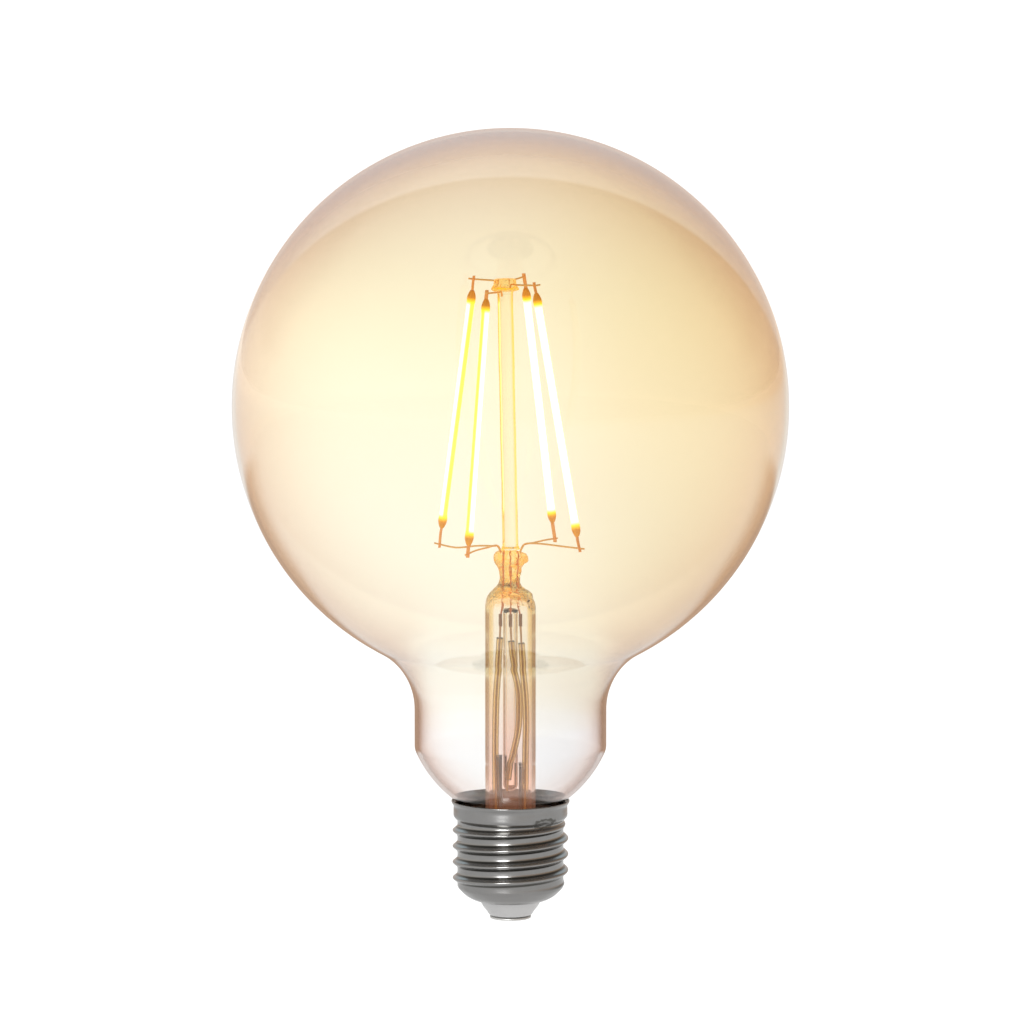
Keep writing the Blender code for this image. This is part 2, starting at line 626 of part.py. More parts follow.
def build_filament(index, collection):
    """One filament on an empty of its own: substrate strip, phosphor coat around it and two welded tabs."""
    name = f"filament_{index + 1}"
    holder = bpy.data.objects.new(name + "_place", None)
    collection.objects.link(holder)
    holder.matrix_world = filament_frame(index)
    low = BOTTOM_TAB_LENGTHS[index] + CLEARANCE
    high = low + FILAMENT_BODY_LENGTH
    middle = (low + high) / 2.0
    nose = (FILAMENT_RADIUS - FILAMENT_BORE) / 2.0
    coat_outline = [
        (FILAMENT_RADIUS - nose, high),
        (FILAMENT_RADIUS, high - nose),
        (FILAMENT_RADIUS, low + nose),
        (FILAMENT_RADIUS - nose, low),
        (FILAMENT_BORE, low),
        (FILAMENT_BORE, high),
    ]
    pieces = [
        turned(name + "_phosphor", coat_outline, collection, PHOSPHOR, SMALL_STEPS, closed=True),
        box(
            name + "_substrate",
            (SUBSTRATE_THICKNESS, SUBSTRATE_WIDTH, FILAMENT_BODY_LENGTH),
            (0.0, 0.0, middle),
            collection,
            CERAMIC,
        ),
        box(
            name + "_top_tab",
            (TAB_THICKNESS, TAB_WIDTH, TOP_TAB_LENGTHS[index]),
            (0.0, 0.0, high + CLEARANCE + TOP_TAB_LENGTHS[index] / 2.0),
            collection,
            COPPER_TAB,
        ),
        box(
            name + "_bottom_tab",
            (TAB_THICKNESS, TAB_WIDTH, BOTTOM_TAB_LENGTHS[index]),
            (0.0, 0.0, BOTTOM_TAB_LENGTHS[index] / 2.0),
            collection,
            COPPER_TAB,
        ),
    ]
    for piece in pieces:
        piece.parent = holder


def build_filament_wires(index, collection):
    """Upper wire from the button past the top tab, and lower wire from the press past the bottom tab."""
    bottom, top = filament_tips(index)
    away = outward(FILAMENT_AZIMUTHS[index])
    beside = Vector((-away.y, away.x, 0.0)) * (TAB_WIDTH / 2.0 + CLEARANCE + WIRE_RADIUS)
    weld_drop = 0.8 * MM

    height = min(top.z - weld_drop, BUTTON_TOP - 0.3 * BUTTON_HEIGHT)
    start = rod_point(height) + away * (BUTTON_RADIUS + CLEARANCE + WIRE_RADIUS)
    weld = Vector((top.x, top.y, top.z - weld_drop)) + beside
    end = weld + away * WIRE_FREE_END
    wire(f"upper_support_wire_{index + 1}", [start, weld, end], WIRE_RADIUS, collection, NICKEL)

    across, deep = LOWER_WIRE_ANCHOR
    foot = PRESS_TOP + CLEARANCE + WIRE_RADIUS
    anchor = Vector((math.copysign(across, away.x), math.copysign(deep, away.y), foot))
    weld = Vector((bottom.x, bottom.y, bottom.z + weld_drop)) + beside
    rise = anchor + away * 2.0 * MM
    rise.z = max(foot + 0.6 * MM, weld.z)
    end = weld + away * WIRE_FREE_END / 2.0
    wire(f"lower_lead_wire_{index + 1}", [end, weld, rise, anchor], WIRE_RADIUS, collection, NICKEL)


# ---- Wires inside the stem -------------------------------------------------------------------------


def build_stem_wires(collection):
    """Three leads down through the press, each joined to a sleeved output wire that runs to the boards."""
    reach = STEM_INNER_RADIUS - SLEEVE_RADIUS - 1.5 * CLEARANCE
    joint_top = STEM_SHOULDER_HEIGHT - JOINT_BELOW_SHOULDER
    top = joint_top - JOINT_LENGTH - CLEARANCE
    bottom = RIM_HEIGHT - SLEEVE_END_BELOW_RIM
    drop = top - bottom

    def ring_point(azimuth, height):
        place = outward(azimuth) * reach
        return (place.x, place.y, height)

    for lead, azimuth in enumerate(JOINT_AZIMUTHS):
        hole = ((lead - 1) * PRESS_LEAD_SPACING, -PRESS_LEADS_FORWARD)
        route = [
            (*hole, PRESS_TOP - CLEARANCE),
            (*hole, STEM_SHOULDER_HEIGHT + LEAD_BEND_ABOVE_SHOULDER),
            ring_point(azimuth, joint_top + CLEARANCE),
        ]
        wire(f"dumet_lead_{lead + 1}", route, WIRE_RADIUS, collection, COPPER)
        centre = ring_point(azimuth, joint_top - JOINT_LENGTH / 2.0)
        cylinder(f"lead_joint_{lead + 1}", JOINT_RADIUS, JOINT_LENGTH, centre, collection, DARK_STRAND, 10)

    left, middle, right = JOINT_AZIMUTHS
    past_boards = math.degrees(math.asin((SLEEVE_RADIUS + CLEARANCE - TONGUE_FRONT) / reach))
    left_side = 180.0 + past_boards
    right_side = 360.0 - past_boards
    turns = {
        1: [
            (left, 0.0),
            (left - 6.0, 0.13),
            (left_side + 9.0, 0.35),
            (left_side + 1.0, 0.6),
            (left_side + 4.0, 0.8),
            (left_side + 8.0, 1.0),
        ],
        2: [
            (middle, 0.0),
            (middle + 8.0, 0.15),
            (right_side - 36.0, 0.33),
            (right_side - 39.0, 0.52),
            (middle - 2.0, 0.7),
            (middle - 12.0, 0.82),
        ],
        3: [
            (right, 0.0),
            (right + 10.0, 0.18),
            (right_side + 2.0, 0.42),
            (right_side - 1.0, 0.62),
            (right_side - 4.0, 0.8),
            (right_side - 8.0, 1.0),
        ],
    }
    core = SLEEVE_RADIUS - SLEEVE_WALL - CLEARANCE
    for number, bends in turns.items():
        route = [ring_point(azimuth, top - share * drop) for azimuth, share in bends]
        points = smooth_route(route, SLEEVE_KNOT_SPACING)
        wire(f"output_wire_{number}", points, core, collection, DARK_STRAND)
        sleeve(
            f"wire_sleeve_{number}", points[1:-1], SLEEVE_RADIUS, SLEEVE_WALL, collection, AMBER_SLEEVE
        )


# ---- Boards ----------------------------------------------------------------------------------------


def build_boards(collection):
    """Driver board and radio board standing in the cap, with their tongues in the stem tube."""
    driver_top = RIM_HEIGHT + DRIVER_TONGUE_ABOVE_RIM
    driver = [
        (-DRIVER_BOARD_HALF_WIDTH, BOARD_BOTTOM),
        (DRIVER_BOARD_HALF_WIDTH, BOARD_BOTTOM),
        (DRIVER_BOARD_HALF_WIDTH, BOARD_BODY_TOP),
        (DRIVER_TONGUE_BACK, BOARD_BODY_TOP),
        (DRIVER_TONGUE_BACK, driver_top),
        (TONGUE_FRONT, driver_top),
        (TONGUE_FRONT, BOARD_BODY_TOP),
        (-DRIVER_BOARD_HALF_WIDTH, BOARD_BODY_TOP),
    ]
    board("driver_board", driver, DRIVER_BOARD_THICKNESS, DRIVER_BOARD_X, collection, BOARD_GREEN)
    radio_top = RIM_HEIGHT + RADIO_TONGUE_ABOVE_RIM
    radio = [
        (RADIO_BOARD_FRONT, RADIO_BOARD_BOTTOM),
        (RADIO_BOARD_BACK, RADIO_BOARD_BOTTOM),
        (RADIO_BOARD_BACK, radio_top),
        (TONGUE_FRONT, radio_top),
        (TONGUE_FRONT, BOARD_BODY_TOP),
        (RADIO_BOARD_FRONT, BOARD_BODY_TOP),
    ]
    board("radio_board", radio, RADIO_BOARD_THICKNESS, RADIO_BOARD_X, collection, BOARD_GREEN)


def build_driver_parts(collection):
    """Mains parts on the driver board."""
    middle = (BOARD_BOTTOM + BOARD_BODY_TOP) / 2.0
    left = DRIVER_FACE_LEFT - CLEARANCE
    right = DRIVER_FACE_RIGHT + CLEARANCE
    can = cylinder(
        "smoothing_capacitor",
        CAPACITOR_RADIUS,
        CAPACITOR_LENGTH,
        (left - CAPACITOR_RADIUS, 0.0, middle),
        collection,
        CHIP_BLACK,
        16,
    )
    rounding = can.modifiers.new("edges", "BEVEL")
    rounding.width = 0.4 * MM
    rounding.segments = 1
    bridge_y = CAPACITOR_RADIUS + CLEARANCE + BRIDGE_SIZE[1] / 2.0
    place = (left - BRIDGE_SIZE[0] / 2.0, bridge_y, middle)
    box("bridge_rectifier", BRIDGE_SIZE, place, collection, CHIP_BLACK, 0.2 * MM)
    resistor_y = -(CAPACITOR_RADIUS + CLEARANCE + RESISTOR_RADIUS)
    place = (left - RESISTOR_RADIUS, resistor_y, middle)
    cylinder("fusible_resistor", RESISTOR_RADIUS, RESISTOR_LENGTH, place, collection, CERAMIC)
    chip_y = RADIO_BOARD_FRONT + CHIP_SIZE[1] / 2.0
    place = (right + CHIP_SIZE[0] / 2.0, chip_y, middle)
    box("driver_chip", CHIP_SIZE, place, collection, CHIP_BLACK, 0.2 * MM)
    build_choke(collection, right, middle)


def build_choke(collection, foot, height):
    """Drum core lying along X from its foot on the driver board, with its winding."""
    waist = CHOKE_LENGTH / 2.0 - CHOKE_FLANGE
    end = CHOKE_LENGTH / 2.0
    core = [
        (0.0, end),
        (CHOKE_RADIUS, end),
        (CHOKE_RADIUS, waist),
        (CHOKE_WAIST_RADIUS, waist),
        (CHOKE_WAIST_RADIUS, -waist),
        (CHOKE_RADIUS, -waist),
        (CHOKE_RADIUS, -end),
        (0.0, -end),
    ]
    coil = [
        (CHOKE_RADIUS - CLEARANCE, waist - CLEARANCE),
        (CHOKE_RADIUS - CLEARANCE, CLEARANCE - waist),
        (CHOKE_WAIST_RADIUS + CLEARANCE, CLEARANCE - waist),
        (CHOKE_WAIST_RADIUS + CLEARANCE, waist - CLEARANCE),
    ]
    y = RADIO_BOARD_BACK + 2.0 * CLEARANCE + CHOKE_RADIUS
    stand = Matrix.Translation((foot + end, y, height)) @ Matrix.Rotation(math.pi / 2.0, 4, "Y")
    turned("choke_core", core, collection, FERRITE, SMALL_STEPS).matrix_world = stand
    turned("choke_winding", coil, collection, COPPER, SMALL_STEPS, closed=True).matrix_world = stand


def build_radio_parts(collection):
    """Shielded radio chip, its chip antenna up in the stem, and the pins that join the two boards."""
    middle = (RADIO_BOARD_BOTTOM + BOARD_BODY_TOP) / 2.0
    face = RADIO_FACE_RIGHT + CLEARANCE
    shield_y = (RADIO_BOARD_FRONT + RADIO_BOARD_BACK) / 2.0
    place = (face + SHIELD_SIZE[0] / 2.0, shield_y, middle)
    box("radio_shield", SHIELD_SIZE, place, collection, NICKEL, 0.2 * MM)
    antenna_z = RIM_HEIGHT + RADIO_TONGUE_ABOVE_RIM - 2.0 * CLEARANCE - ANTENNA_SIZE[2] / 2.0
    antenna_y = TONGUE_FRONT + CLEARANCE + ANTENNA_SIZE[1] / 2.0
    place = (face + ANTENNA_SIZE[0] / 2.0, antenna_y, antenna_z)
    box("chip_antenna", ANTENNA_SIZE, place, collection, CERAMIC)

    gap = RADIO_FACE_LEFT - DRIVER_FACE_RIGHT - 2.0 * CLEARANCE
    centre = (RADIO_FACE_LEFT + DRIVER_FACE_RIGHT) / 2.0
    for pin in range(3):
        y = RADIO_BOARD_BACK - 0.5 * MM - PIN_SPACING * pin
        place = Matrix.Translation((centre, y, BOARD_BODY_TOP - 1.0 * MM))
        peg = cylinder(f"board_pin_{pin + 1}", PIN_RADIUS, gap, (0, 0, 0), collection, COPPER, 8)
        peg.matrix_world = place @ Matrix.Rotation(math.pi / 2.0, 4, "Y")


def build_mains_wires(collection):
    """Live wire from the centre contact and neutral wire from the shell, both to the driver board."""
    foot = BOARD_BOTTOM - CLEARANCE - WIRE_RADIUS
    live = [
        (0.0, 0.0, CONTACT_THICKNESS + CLEARANCE),
        (0.0, 0.0, INSULATOR_SEAT_HEIGHT + SHELL_WALL + CLEARANCE + INSULATOR_SEAT_THICKNESS),
        (DRIVER_BOARD_X / 2.0, 0.0, foot - 0.3 * MM),
        (DRIVER_BOARD_X, 0.0, foot),
    ]
    wire("live_wire", live, 1.5 * WIRE_RADIUS, collection, COPPER)
    edge = -DRIVER_BOARD_HALF_WIDTH - CLEARANCE
    wall = WIRE_RADIUS * 2.0 + CLEARANCE + SHELL_WALL - THREAD_ROOT_RADIUS
    neutral = [
        (DRIVER_BOARD_X, edge, BOARD_BOTTOM + 2.0 * MM),
        (DRIVER_BOARD_X, edge - 0.6 * MM, BOARD_BOTTOM + 2.0 * MM),
        (DRIVER_BOARD_X + 1.0 * MM, wall + 1.0 * MM, BOARD_BOTTOM + 5.0 * MM),
        (DRIVER_BOARD_X + 2.0 * MM, wall + 0.6 * MM, BOARD_BODY_TOP),
    ]
    wire("neutral_wire", neutral, 1.5 * WIRE_RADIUS, collection, COPPER)


def main():
    """Build the whole lamp."""
    clear_scene()
    lamp = new_collection("globe_smart_lamp")
    cutters = new_collection("cutters")
    build_cap(lamp)
    build_envelope(lamp)
    build_stem(lamp, cutters)
    build_rod(lamp)
    for index in range(len(FILAMENT_AZIMUTHS)):
        build_filament(index, lamp)
        build_filament_wires(index, lamp)
    build_stem_wires(lamp)
    build_boards(lamp)
    build_driver_parts(lamp)
    build_radio_parts(lamp)
    build_mains_wires(lamp)
    bpy.context.view_layer.update()


main()
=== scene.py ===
"""Looks of the globe filament lamp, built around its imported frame.

Every place comes from the frame's nodes. Each sub-assembly is a class that builds its fine meshes and dresses
them, and each finish is a frozen dataclass that builds its own material.
"""

import logging
import math
from dataclasses import dataclass
from enum import Enum

import bmesh
import bpy
from mathutils import Matrix, Vector, noise


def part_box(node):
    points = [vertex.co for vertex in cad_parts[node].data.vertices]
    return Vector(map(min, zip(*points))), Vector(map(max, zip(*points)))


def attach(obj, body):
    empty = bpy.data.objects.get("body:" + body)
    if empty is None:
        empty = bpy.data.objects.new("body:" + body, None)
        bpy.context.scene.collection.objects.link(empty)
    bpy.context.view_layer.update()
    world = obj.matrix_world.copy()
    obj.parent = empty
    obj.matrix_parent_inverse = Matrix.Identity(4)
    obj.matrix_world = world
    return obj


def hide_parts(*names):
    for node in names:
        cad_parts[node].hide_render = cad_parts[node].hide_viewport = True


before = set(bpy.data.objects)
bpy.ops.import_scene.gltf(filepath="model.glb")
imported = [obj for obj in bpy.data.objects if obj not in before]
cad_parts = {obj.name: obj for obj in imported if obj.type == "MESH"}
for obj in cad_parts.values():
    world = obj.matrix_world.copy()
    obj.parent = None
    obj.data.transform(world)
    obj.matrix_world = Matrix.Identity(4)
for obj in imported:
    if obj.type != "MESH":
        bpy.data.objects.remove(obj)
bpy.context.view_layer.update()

MM = 0.001
FULL_TURN = 2.0 * math.pi
BODY = "root"
LOG = logging.getLogger("lamp")

Colour = tuple[float, float, float]
Outline = list[tuple[float, float]]


# ---- Reading the frame -----------------------------------------------------------------------------


def centre_of(node: str) -> Vector:
    """Middle of a node's box.

    Args:
        node: name of a CAD node.

    Returns:
        The point halfway between the box's corners.
    """
    low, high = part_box(node)
    return (low + high) / 2.0


def cad_points(node: str) -> list[Vector]:
    """Corner points of a CAD node, once each.

    Args:
        node: name of a CAD node.

    Returns:
        The points, in no special order.
    """
    seen = {tuple(round(c, 6) for c in vertex.co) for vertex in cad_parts[node].data.vertices}
    return [Vector(point) for point in sorted(seen)]


def extent_along(node: str, origin: Vector, axis: Vector) -> tuple[float, float]:
    """How far a node reaches along an axis.

    Args:
        node: name of a CAD node.
        origin: where the axis starts.
        axis: unit vector.

    Returns:
        The least and the greatest distance of the node's points along the axis.
    """
    reaches = [(point - origin).dot(axis) for point in cad_points(node)]
    return min(reaches), max(reaches)


def centreline(node: str, direction: Vector, gap: float) -> list[Vector]:
    """Centres of a CAD wire's rings, in order along a direction.

    Args:
        node: name of a CAD wire.
        direction: vector that the wire's rings follow one another along.
        gap: least distance between two rings along it.

    Returns:
        One point for each ring.
    """
    points = sorted(cad_points(node), key=lambda point: point.dot(direction))
    rings = [[points[0]]]
    for before, point in zip(points, points[1:]):
        if (point - before).dot(direction) > gap:
            rings.append([])
        rings[-1].append(point)
    return [sum(ring, Vector()) / len(ring) for ring in rings]


# ---- Shapes ----------------------------------------------------------------------------------------


def arc(centre: tuple[float, float], radius: float, start: float, end: float, steps: int) -> Outline:
    """Points of an arc in the (r, z) half plane.

    Args:
        centre: centre of the arc.
        radius: its radius.
        start: first angle in radians, from +r towards +z.
        end: last angle in radians.
        steps: number of steps from start to end.

    Returns:
        The points from start to end.
    """
    angles = [start + (end - start) * i / steps for i in range(steps + 1)]
    return [(centre[0] + radius * math.cos(a), centre[1] + radius * math.sin(a)) for a in angles]


def eased(points: Outline, spacing: float) -> Outline:
    """A smooth outline through the given points.

    Args:
        points: outline points in the (r, z) half plane.
        spacing: rough distance between the points returned.

    Returns:
        Points on a Catmull-Rom curve through the outline.
    """
    path = smooth_path([Vector((r, 0.0, z)) for r, z in points], spacing)
    return [(max(point.x, 0.0), point.z) for point in path]


def smooth_path(route: list[Vector], spacing: float) -> list[Vector]:
    """Points on a Catmull-Rom curve.

    Args:
        route: points that the curve passes.
        spacing: rough distance between the points returned.

    Returns:
        The points, with the route's ends.
    """
    knots = [2.0 * route[0] - route[1], *route, 2.0 * route[-1] - route[-2]]
    path = []
    for a, b, c, d in zip(knots, knots[1:], knots[2:], knots[3:]):
        count = max(1, round((c - b).length / spacing))
        for i in range(count):
            t = i / count
            cubic = 3.0 * b - a - 3.0 * c + d
            square = 2.0 * a - 5.0 * b + 4.0 * c - d
            path.append(0.5 * (2.0 * b + (c - a) * t + square * t**2 + cubic * t**3))
    path.append(route[-1].copy())
    return path


def lathe(name: str, outline: Outline, segments: int, closed: bool = False) -> bpy.types.Mesh:
    """Turn an outline about Z.

    Args:
        name: name of the mesh.
        outline: (r, z) points. A point on the axis becomes a single vertex.
        segments: steps round the axis.
        closed: whether the last point joins the first, for a ring.

    Returns:
        A closed, smooth mesh with its faces pointing outwards.
    """
    sheet = bmesh.new()
    rings = []
    for r, z in outline:
        if r < 1e-7:
            rings.append([sheet.verts.new((0.0, 0.0, z))] * segments)
            continue
        angles = (FULL_TURN * i / segments for i in range(segments))
        rings.append([sheet.verts.new((r * math.cos(a), r * math.sin(a), z)) for a in angles])
    pairs = list(zip(rings, rings[1:]))
    if closed:
        pairs.append((rings[-1], rings[0]))
    for upper, lower in pairs:
        for i in range(segments):
            j = (i + 1) % segments
            corners = list(dict.fromkeys((upper[i], lower[i], lower[j], upper[j])))
            if len(corners) > 2:
                sheet.faces.new(corners)
    return finished_mesh(name, sheet)


def finished_mesh(name: str, sheet: bmesh.types.BMesh, smooth: bool = True) -> bpy.types.Mesh:
    """Turn a bmesh into a mesh with outward faces.

    Args:
        name: name of the mesh.
        sheet: the bmesh, which is freed.
        smooth: whether its faces are shaded smooth.

    Returns:
        The mesh.
    """
    bmesh.ops.recalc_face_normals(sheet, faces=sheet.faces)
    for face in sheet.faces:
        face.smooth = smooth
    mesh = bpy.data.meshes.new(name)
    sheet.to_mesh(mesh)
    sheet.free()
    return mesh


def moved(mesh: bpy.types.Mesh, place: Matrix) -> bpy.types.Mesh:
    """Put a mesh in its place.

    Args:
        mesh: the mesh, which is changed.
        place: matrix applied to its points.

    Returns:
        The same mesh.
    """
    mesh.transform(place)
    return mesh


def frame_along(origin: Vector, along: Vector, front: Vector) -> Matrix:
    """Matrix with Z along one direction and X as near as it can be to another.

    Args:
        origin: where the frame stands.
        along: direction of its Z axis.
        front: direction that its X axis leans to.

    Returns:
        The matrix.
    """
    z_axis = along.normalized()
    y_axis = z_axis.cross(front).normalized()
    x_axis = y_axis.cross(z_axis)
    turn = Matrix((x_axis, y_axis, z_axis)).transposed().to_4x4()
    return Matrix.Translation(origin) @ turn


def path_mesh(name: str, path: list[Vector]) -> bpy.types.Mesh:
    """A line of edges through the points.

    Args:
        name: name of the mesh.
        path: its points.

    Returns:
        A mesh of edges only.
    """
    mesh = bpy.data.meshes.new(name)
    mesh.from_pydata([tuple(p) for p in path], [(i, i + 1) for i in range(len(path) - 1)], [])
    return mesh


# ---- Geometry node trees ---------------------------------------------------------------------------


@dataclass
class NodeTree:
    """A node tree being written, with short ways to add nodes and links."""

    tree: bpy.types.NodeTree

    def add(self, kind: str, **settings: object) -> bpy.types.Node:
        """Add a node.

        Args:
            kind: its class name.
            settings: properties set on it.

        Returns:
            The node.
        """
        node = self.tree.nodes.new(kind)
        for name, value in settings.items():
            setattr(node, name, value)
        return node

    def link(self, source: bpy.types.NodeSocket, target: bpy.types.NodeSocket) -> None:
        """Join an output to an input."""
        self.tree.links.new(source, target)

    def fill(self, socket: bpy.types.NodeSocket, value: object) -> None:
        """Link an output to a socket, or set a plain value on it."""
        if isinstance(value, bpy.types.NodeSocket):
            self.link(value, socket)
        else:
            socket.default_value = value

    def math(self, operation: str, *values: object, clamp: bool = False) -> bpy.types.NodeSocket:
        """Add a Math node.

        Args:
            operation: its operation.
            values: sockets or numbers for its inputs.
            clamp: whether the result stays from 0 to 1.

        Returns:
            Its output.
        """
        node = self.add("ShaderNodeMath", operation=operation, use_clamp=clamp)
        for socket, value in zip(node.inputs, values):
            self.fill(socket, value)
        return node.outputs[0]

    def vector(self, operation: str, *values: object) -> bpy.types.NodeSocket:
        """Add a Vector Math node.

        Args:
            operation: its operation.
            values: sockets or vectors for its inputs.

        Returns:
            Its vector output.
        """
        node = self.add("ShaderNodeVectorMath", operation=operation)
        for socket, value in zip(node.inputs, values):
            self.fill(socket, value)
        return node.outputs["Vector"]

    def scaled(self, vector: bpy.types.NodeSocket, factor: object) -> bpy.types.NodeSocket:
        """A vector times a number."""
        node = self.add("ShaderNodeVectorMath", operation="SCALE")
        self.link(vector, node.inputs[0])
        self.fill(node.inputs["Scale"], factor)
        return node.outputs["Vector"]

    def smooth_step(self, value: object, low: float, high: float) -> bpy.types.NodeSocket:
        """A value that eases from 0 at low to 1 at high."""
        node = self.add("ShaderNodeMapRange", interpolation_type="SMOOTHSTEP")
        self.fill(node.inputs["Value"], value)
        node.inputs["From Min"].default_value = low
        node.inputs["From Max"].default_value = high
        return node.outputs["Result"]

    def blend(self, factor: object, first: object, second: object) -> bpy.types.NodeSocket:
        """A colour between two colours."""
        node = self.add("ShaderNodeMix", data_type="RGBA")
        self.fill(node.inputs["Factor"], factor)
        for socket, colour in ((node.inputs[6], first), (node.inputs[7], second)):
            self.fill(socket, (*colour, 1.0) if isinstance(colour, tuple) else colour)
        return node.outputs[2]

    def ramp(self, value: object, stops: tuple[tuple[float, float], ...]) -> bpy.types.NodeSocket:
        """A number that runs straight from stop to stop.

        Args:
            value: where along the stops.
            stops: (value, result) pairs in rising order.

        Returns:
            The result.
        """
        total: object = stops[0][1]
        for (low, first), (high, second) in zip(stops, stops[1:]):
            node = self.add("ShaderNodeMapRange")
            self.fill(node.inputs["Value"], value)
            for label, number in zip(("From Min", "From Max", "To Min", "To Max"), (low, high, 0.0, second - first)):
                node.inputs[label].default_value = number
            total = self.math("ADD", total, node.outputs["Result"])
        return total


def geometry_tree(name: str, inputs: dict[str, str]) -> tuple[NodeTree, bpy.types.Node]:
    """Start a geometry node tree.

    Args:
        name: name of the tree.
        inputs: socket type of each named input after the geometry.

    Returns:
        The tree and its input node.
    """
    tree = bpy.data.node_groups.new(name, "GeometryNodeTree")
    face = tree.interface
    face.new_socket("Geometry", in_out="INPUT", socket_type="NodeSocketGeometry")
    for label, kind in inputs.items():
        face.new_socket(label, in_out="INPUT", socket_type=kind)
    face.new_socket("Geometry", in_out="OUTPUT", socket_type="NodeSocketGeometry")
    writer = NodeTree(tree)
    return writer, writer.add("NodeGroupInput")


def end_geometry(writer: NodeTree, given: bpy.types.Node, shape: bpy.types.NodeSocket) -> None:
    """Finish a tree with Realize Instances and Set Material.

    Args:
        writer: the tree.
        given: its input node, with a Material output.
        shape: the geometry so far.
    """
    real = writer.add("GeometryNodeRealizeInstances")
    paint = writer.add("GeometryNodeSetMaterial")
    out = writer.add("NodeGroupOutput")
    writer.link(shape, real.inputs["Geometry"])
    writer.link(real.outputs["Geometry"], paint.inputs["Geometry"])
    writer.link(given.outputs["Material"], paint.inputs["Material"])
    writer.link(paint.outputs["Geometry"], out.inputs["Geometry"])


def swept(writer: NodeTree, curve: bpy.types.NodeSocket, radius: object, sides: int) -> bpy.types.NodeSocket:
    """Sweep a round section along a curve.

    Args:
        writer: the tree.
        curve: the curve.
        radius: radius of the section.
        sides: sides of the section.

    Returns:
        The capped, smooth mesh.
    """
    ring = writer.add("GeometryNodeCurvePrimitiveCircle", mode="RADIUS")
    ring.inputs["Resolution"].default_value = sides
    writer.fill(ring.inputs["Radius"], radius)
    sweep = writer.add("GeometryNodeCurveToMesh")
    sweep.inputs["Fill Caps"].default_value = True
    writer.link(curve, sweep.inputs["Curve"])
    writer.link(ring.outputs["Curve"], sweep.inputs["Profile Curve"])
    return sweep.outputs["Mesh"]


def wire_tree() -> bpy.types.NodeTree:
    """Tree that sweeps a round wire along a line of edges."""
    writer, given = geometry_tree(
        "round_wire", {"Radius": "NodeSocketFloat", "Material": "NodeSocketMaterial"}
    )
    curve = writer.add("GeometryNodeMeshToCurve")
    writer.link(given.outputs["Geometry"], curve.inputs["Mesh"])
    end_geometry(writer, given, swept(writer, curve.outputs["Curve"], given.outputs["Radius"], 16))
    return writer.tree


def strand_tree() -> bpy.types.NodeTree:
    """Tree that lays twisted strands round a line of edges."""
    writer, given = geometry_tree(
        "twisted_strands",
        {
            "Strands": "NodeSocketInt",
            "Strand Radius": "NodeSocketFloat",
            "Bundle Radius": "NodeSocketFloat",
            "Lay Length": "NodeSocketFloat",
            "Material": "NodeSocketMaterial",
        },
    )
    curve = writer.add("GeometryNodeMeshToCurve")
    writer.link(given.outputs["Geometry"], curve.inputs["Mesh"])
    resample = writer.add("GeometryNodeResampleCurve", mode="LENGTH")
    writer.link(curve.outputs["Curve"], resample.inputs["Curve"])
    step = writer.math("DIVIDE", given.outputs["Lay Length"], 12.0)
    writer.link(step, resample.inputs["Length"])
    copies = writer.add("GeometryNodeDuplicateElements", domain="SPLINE")
    writer.link(resample.outputs["Curve"], copies.inputs["Geometry"])
    writer.link(given.outputs["Strands"], copies.inputs["Amount"])
    along = writer.add("GeometryNodeSplineParameter").outputs["Length"]
    start = writer.math("DIVIDE", copies.outputs["Duplicate Index"], given.outputs["Strands"])
    turns = writer.math("ADD", start, writer.math("DIVIDE", along, given.outputs["Lay Length"]))
    angle = writer.math("MULTIPLY", turns, FULL_TURN)
    normal = writer.add("GeometryNodeInputNormal").outputs["Normal"]
    tangent = writer.add("GeometryNodeInputTangent").outputs["Tangent"]
    side = writer.vector("CROSS_PRODUCT", tangent, normal)
    lay = writer.vector(
        "ADD",
        writer.scaled(normal, writer.math("COSINE", angle)),
        writer.scaled(side, writer.math("SINE", angle)),
    )
    place = writer.add("GeometryNodeSetPosition")
    writer.link(copies.outputs["Geometry"], place.inputs["Geometry"])
    writer.link(writer.scaled(lay, given.outputs["Bundle Radius"]), place.inputs["Offset"])
    strands = swept(writer, place.outputs["Geometry"], given.outputs["Strand Radius"], 8)
    end_geometry(writer, given, strands)
    return writer.tree


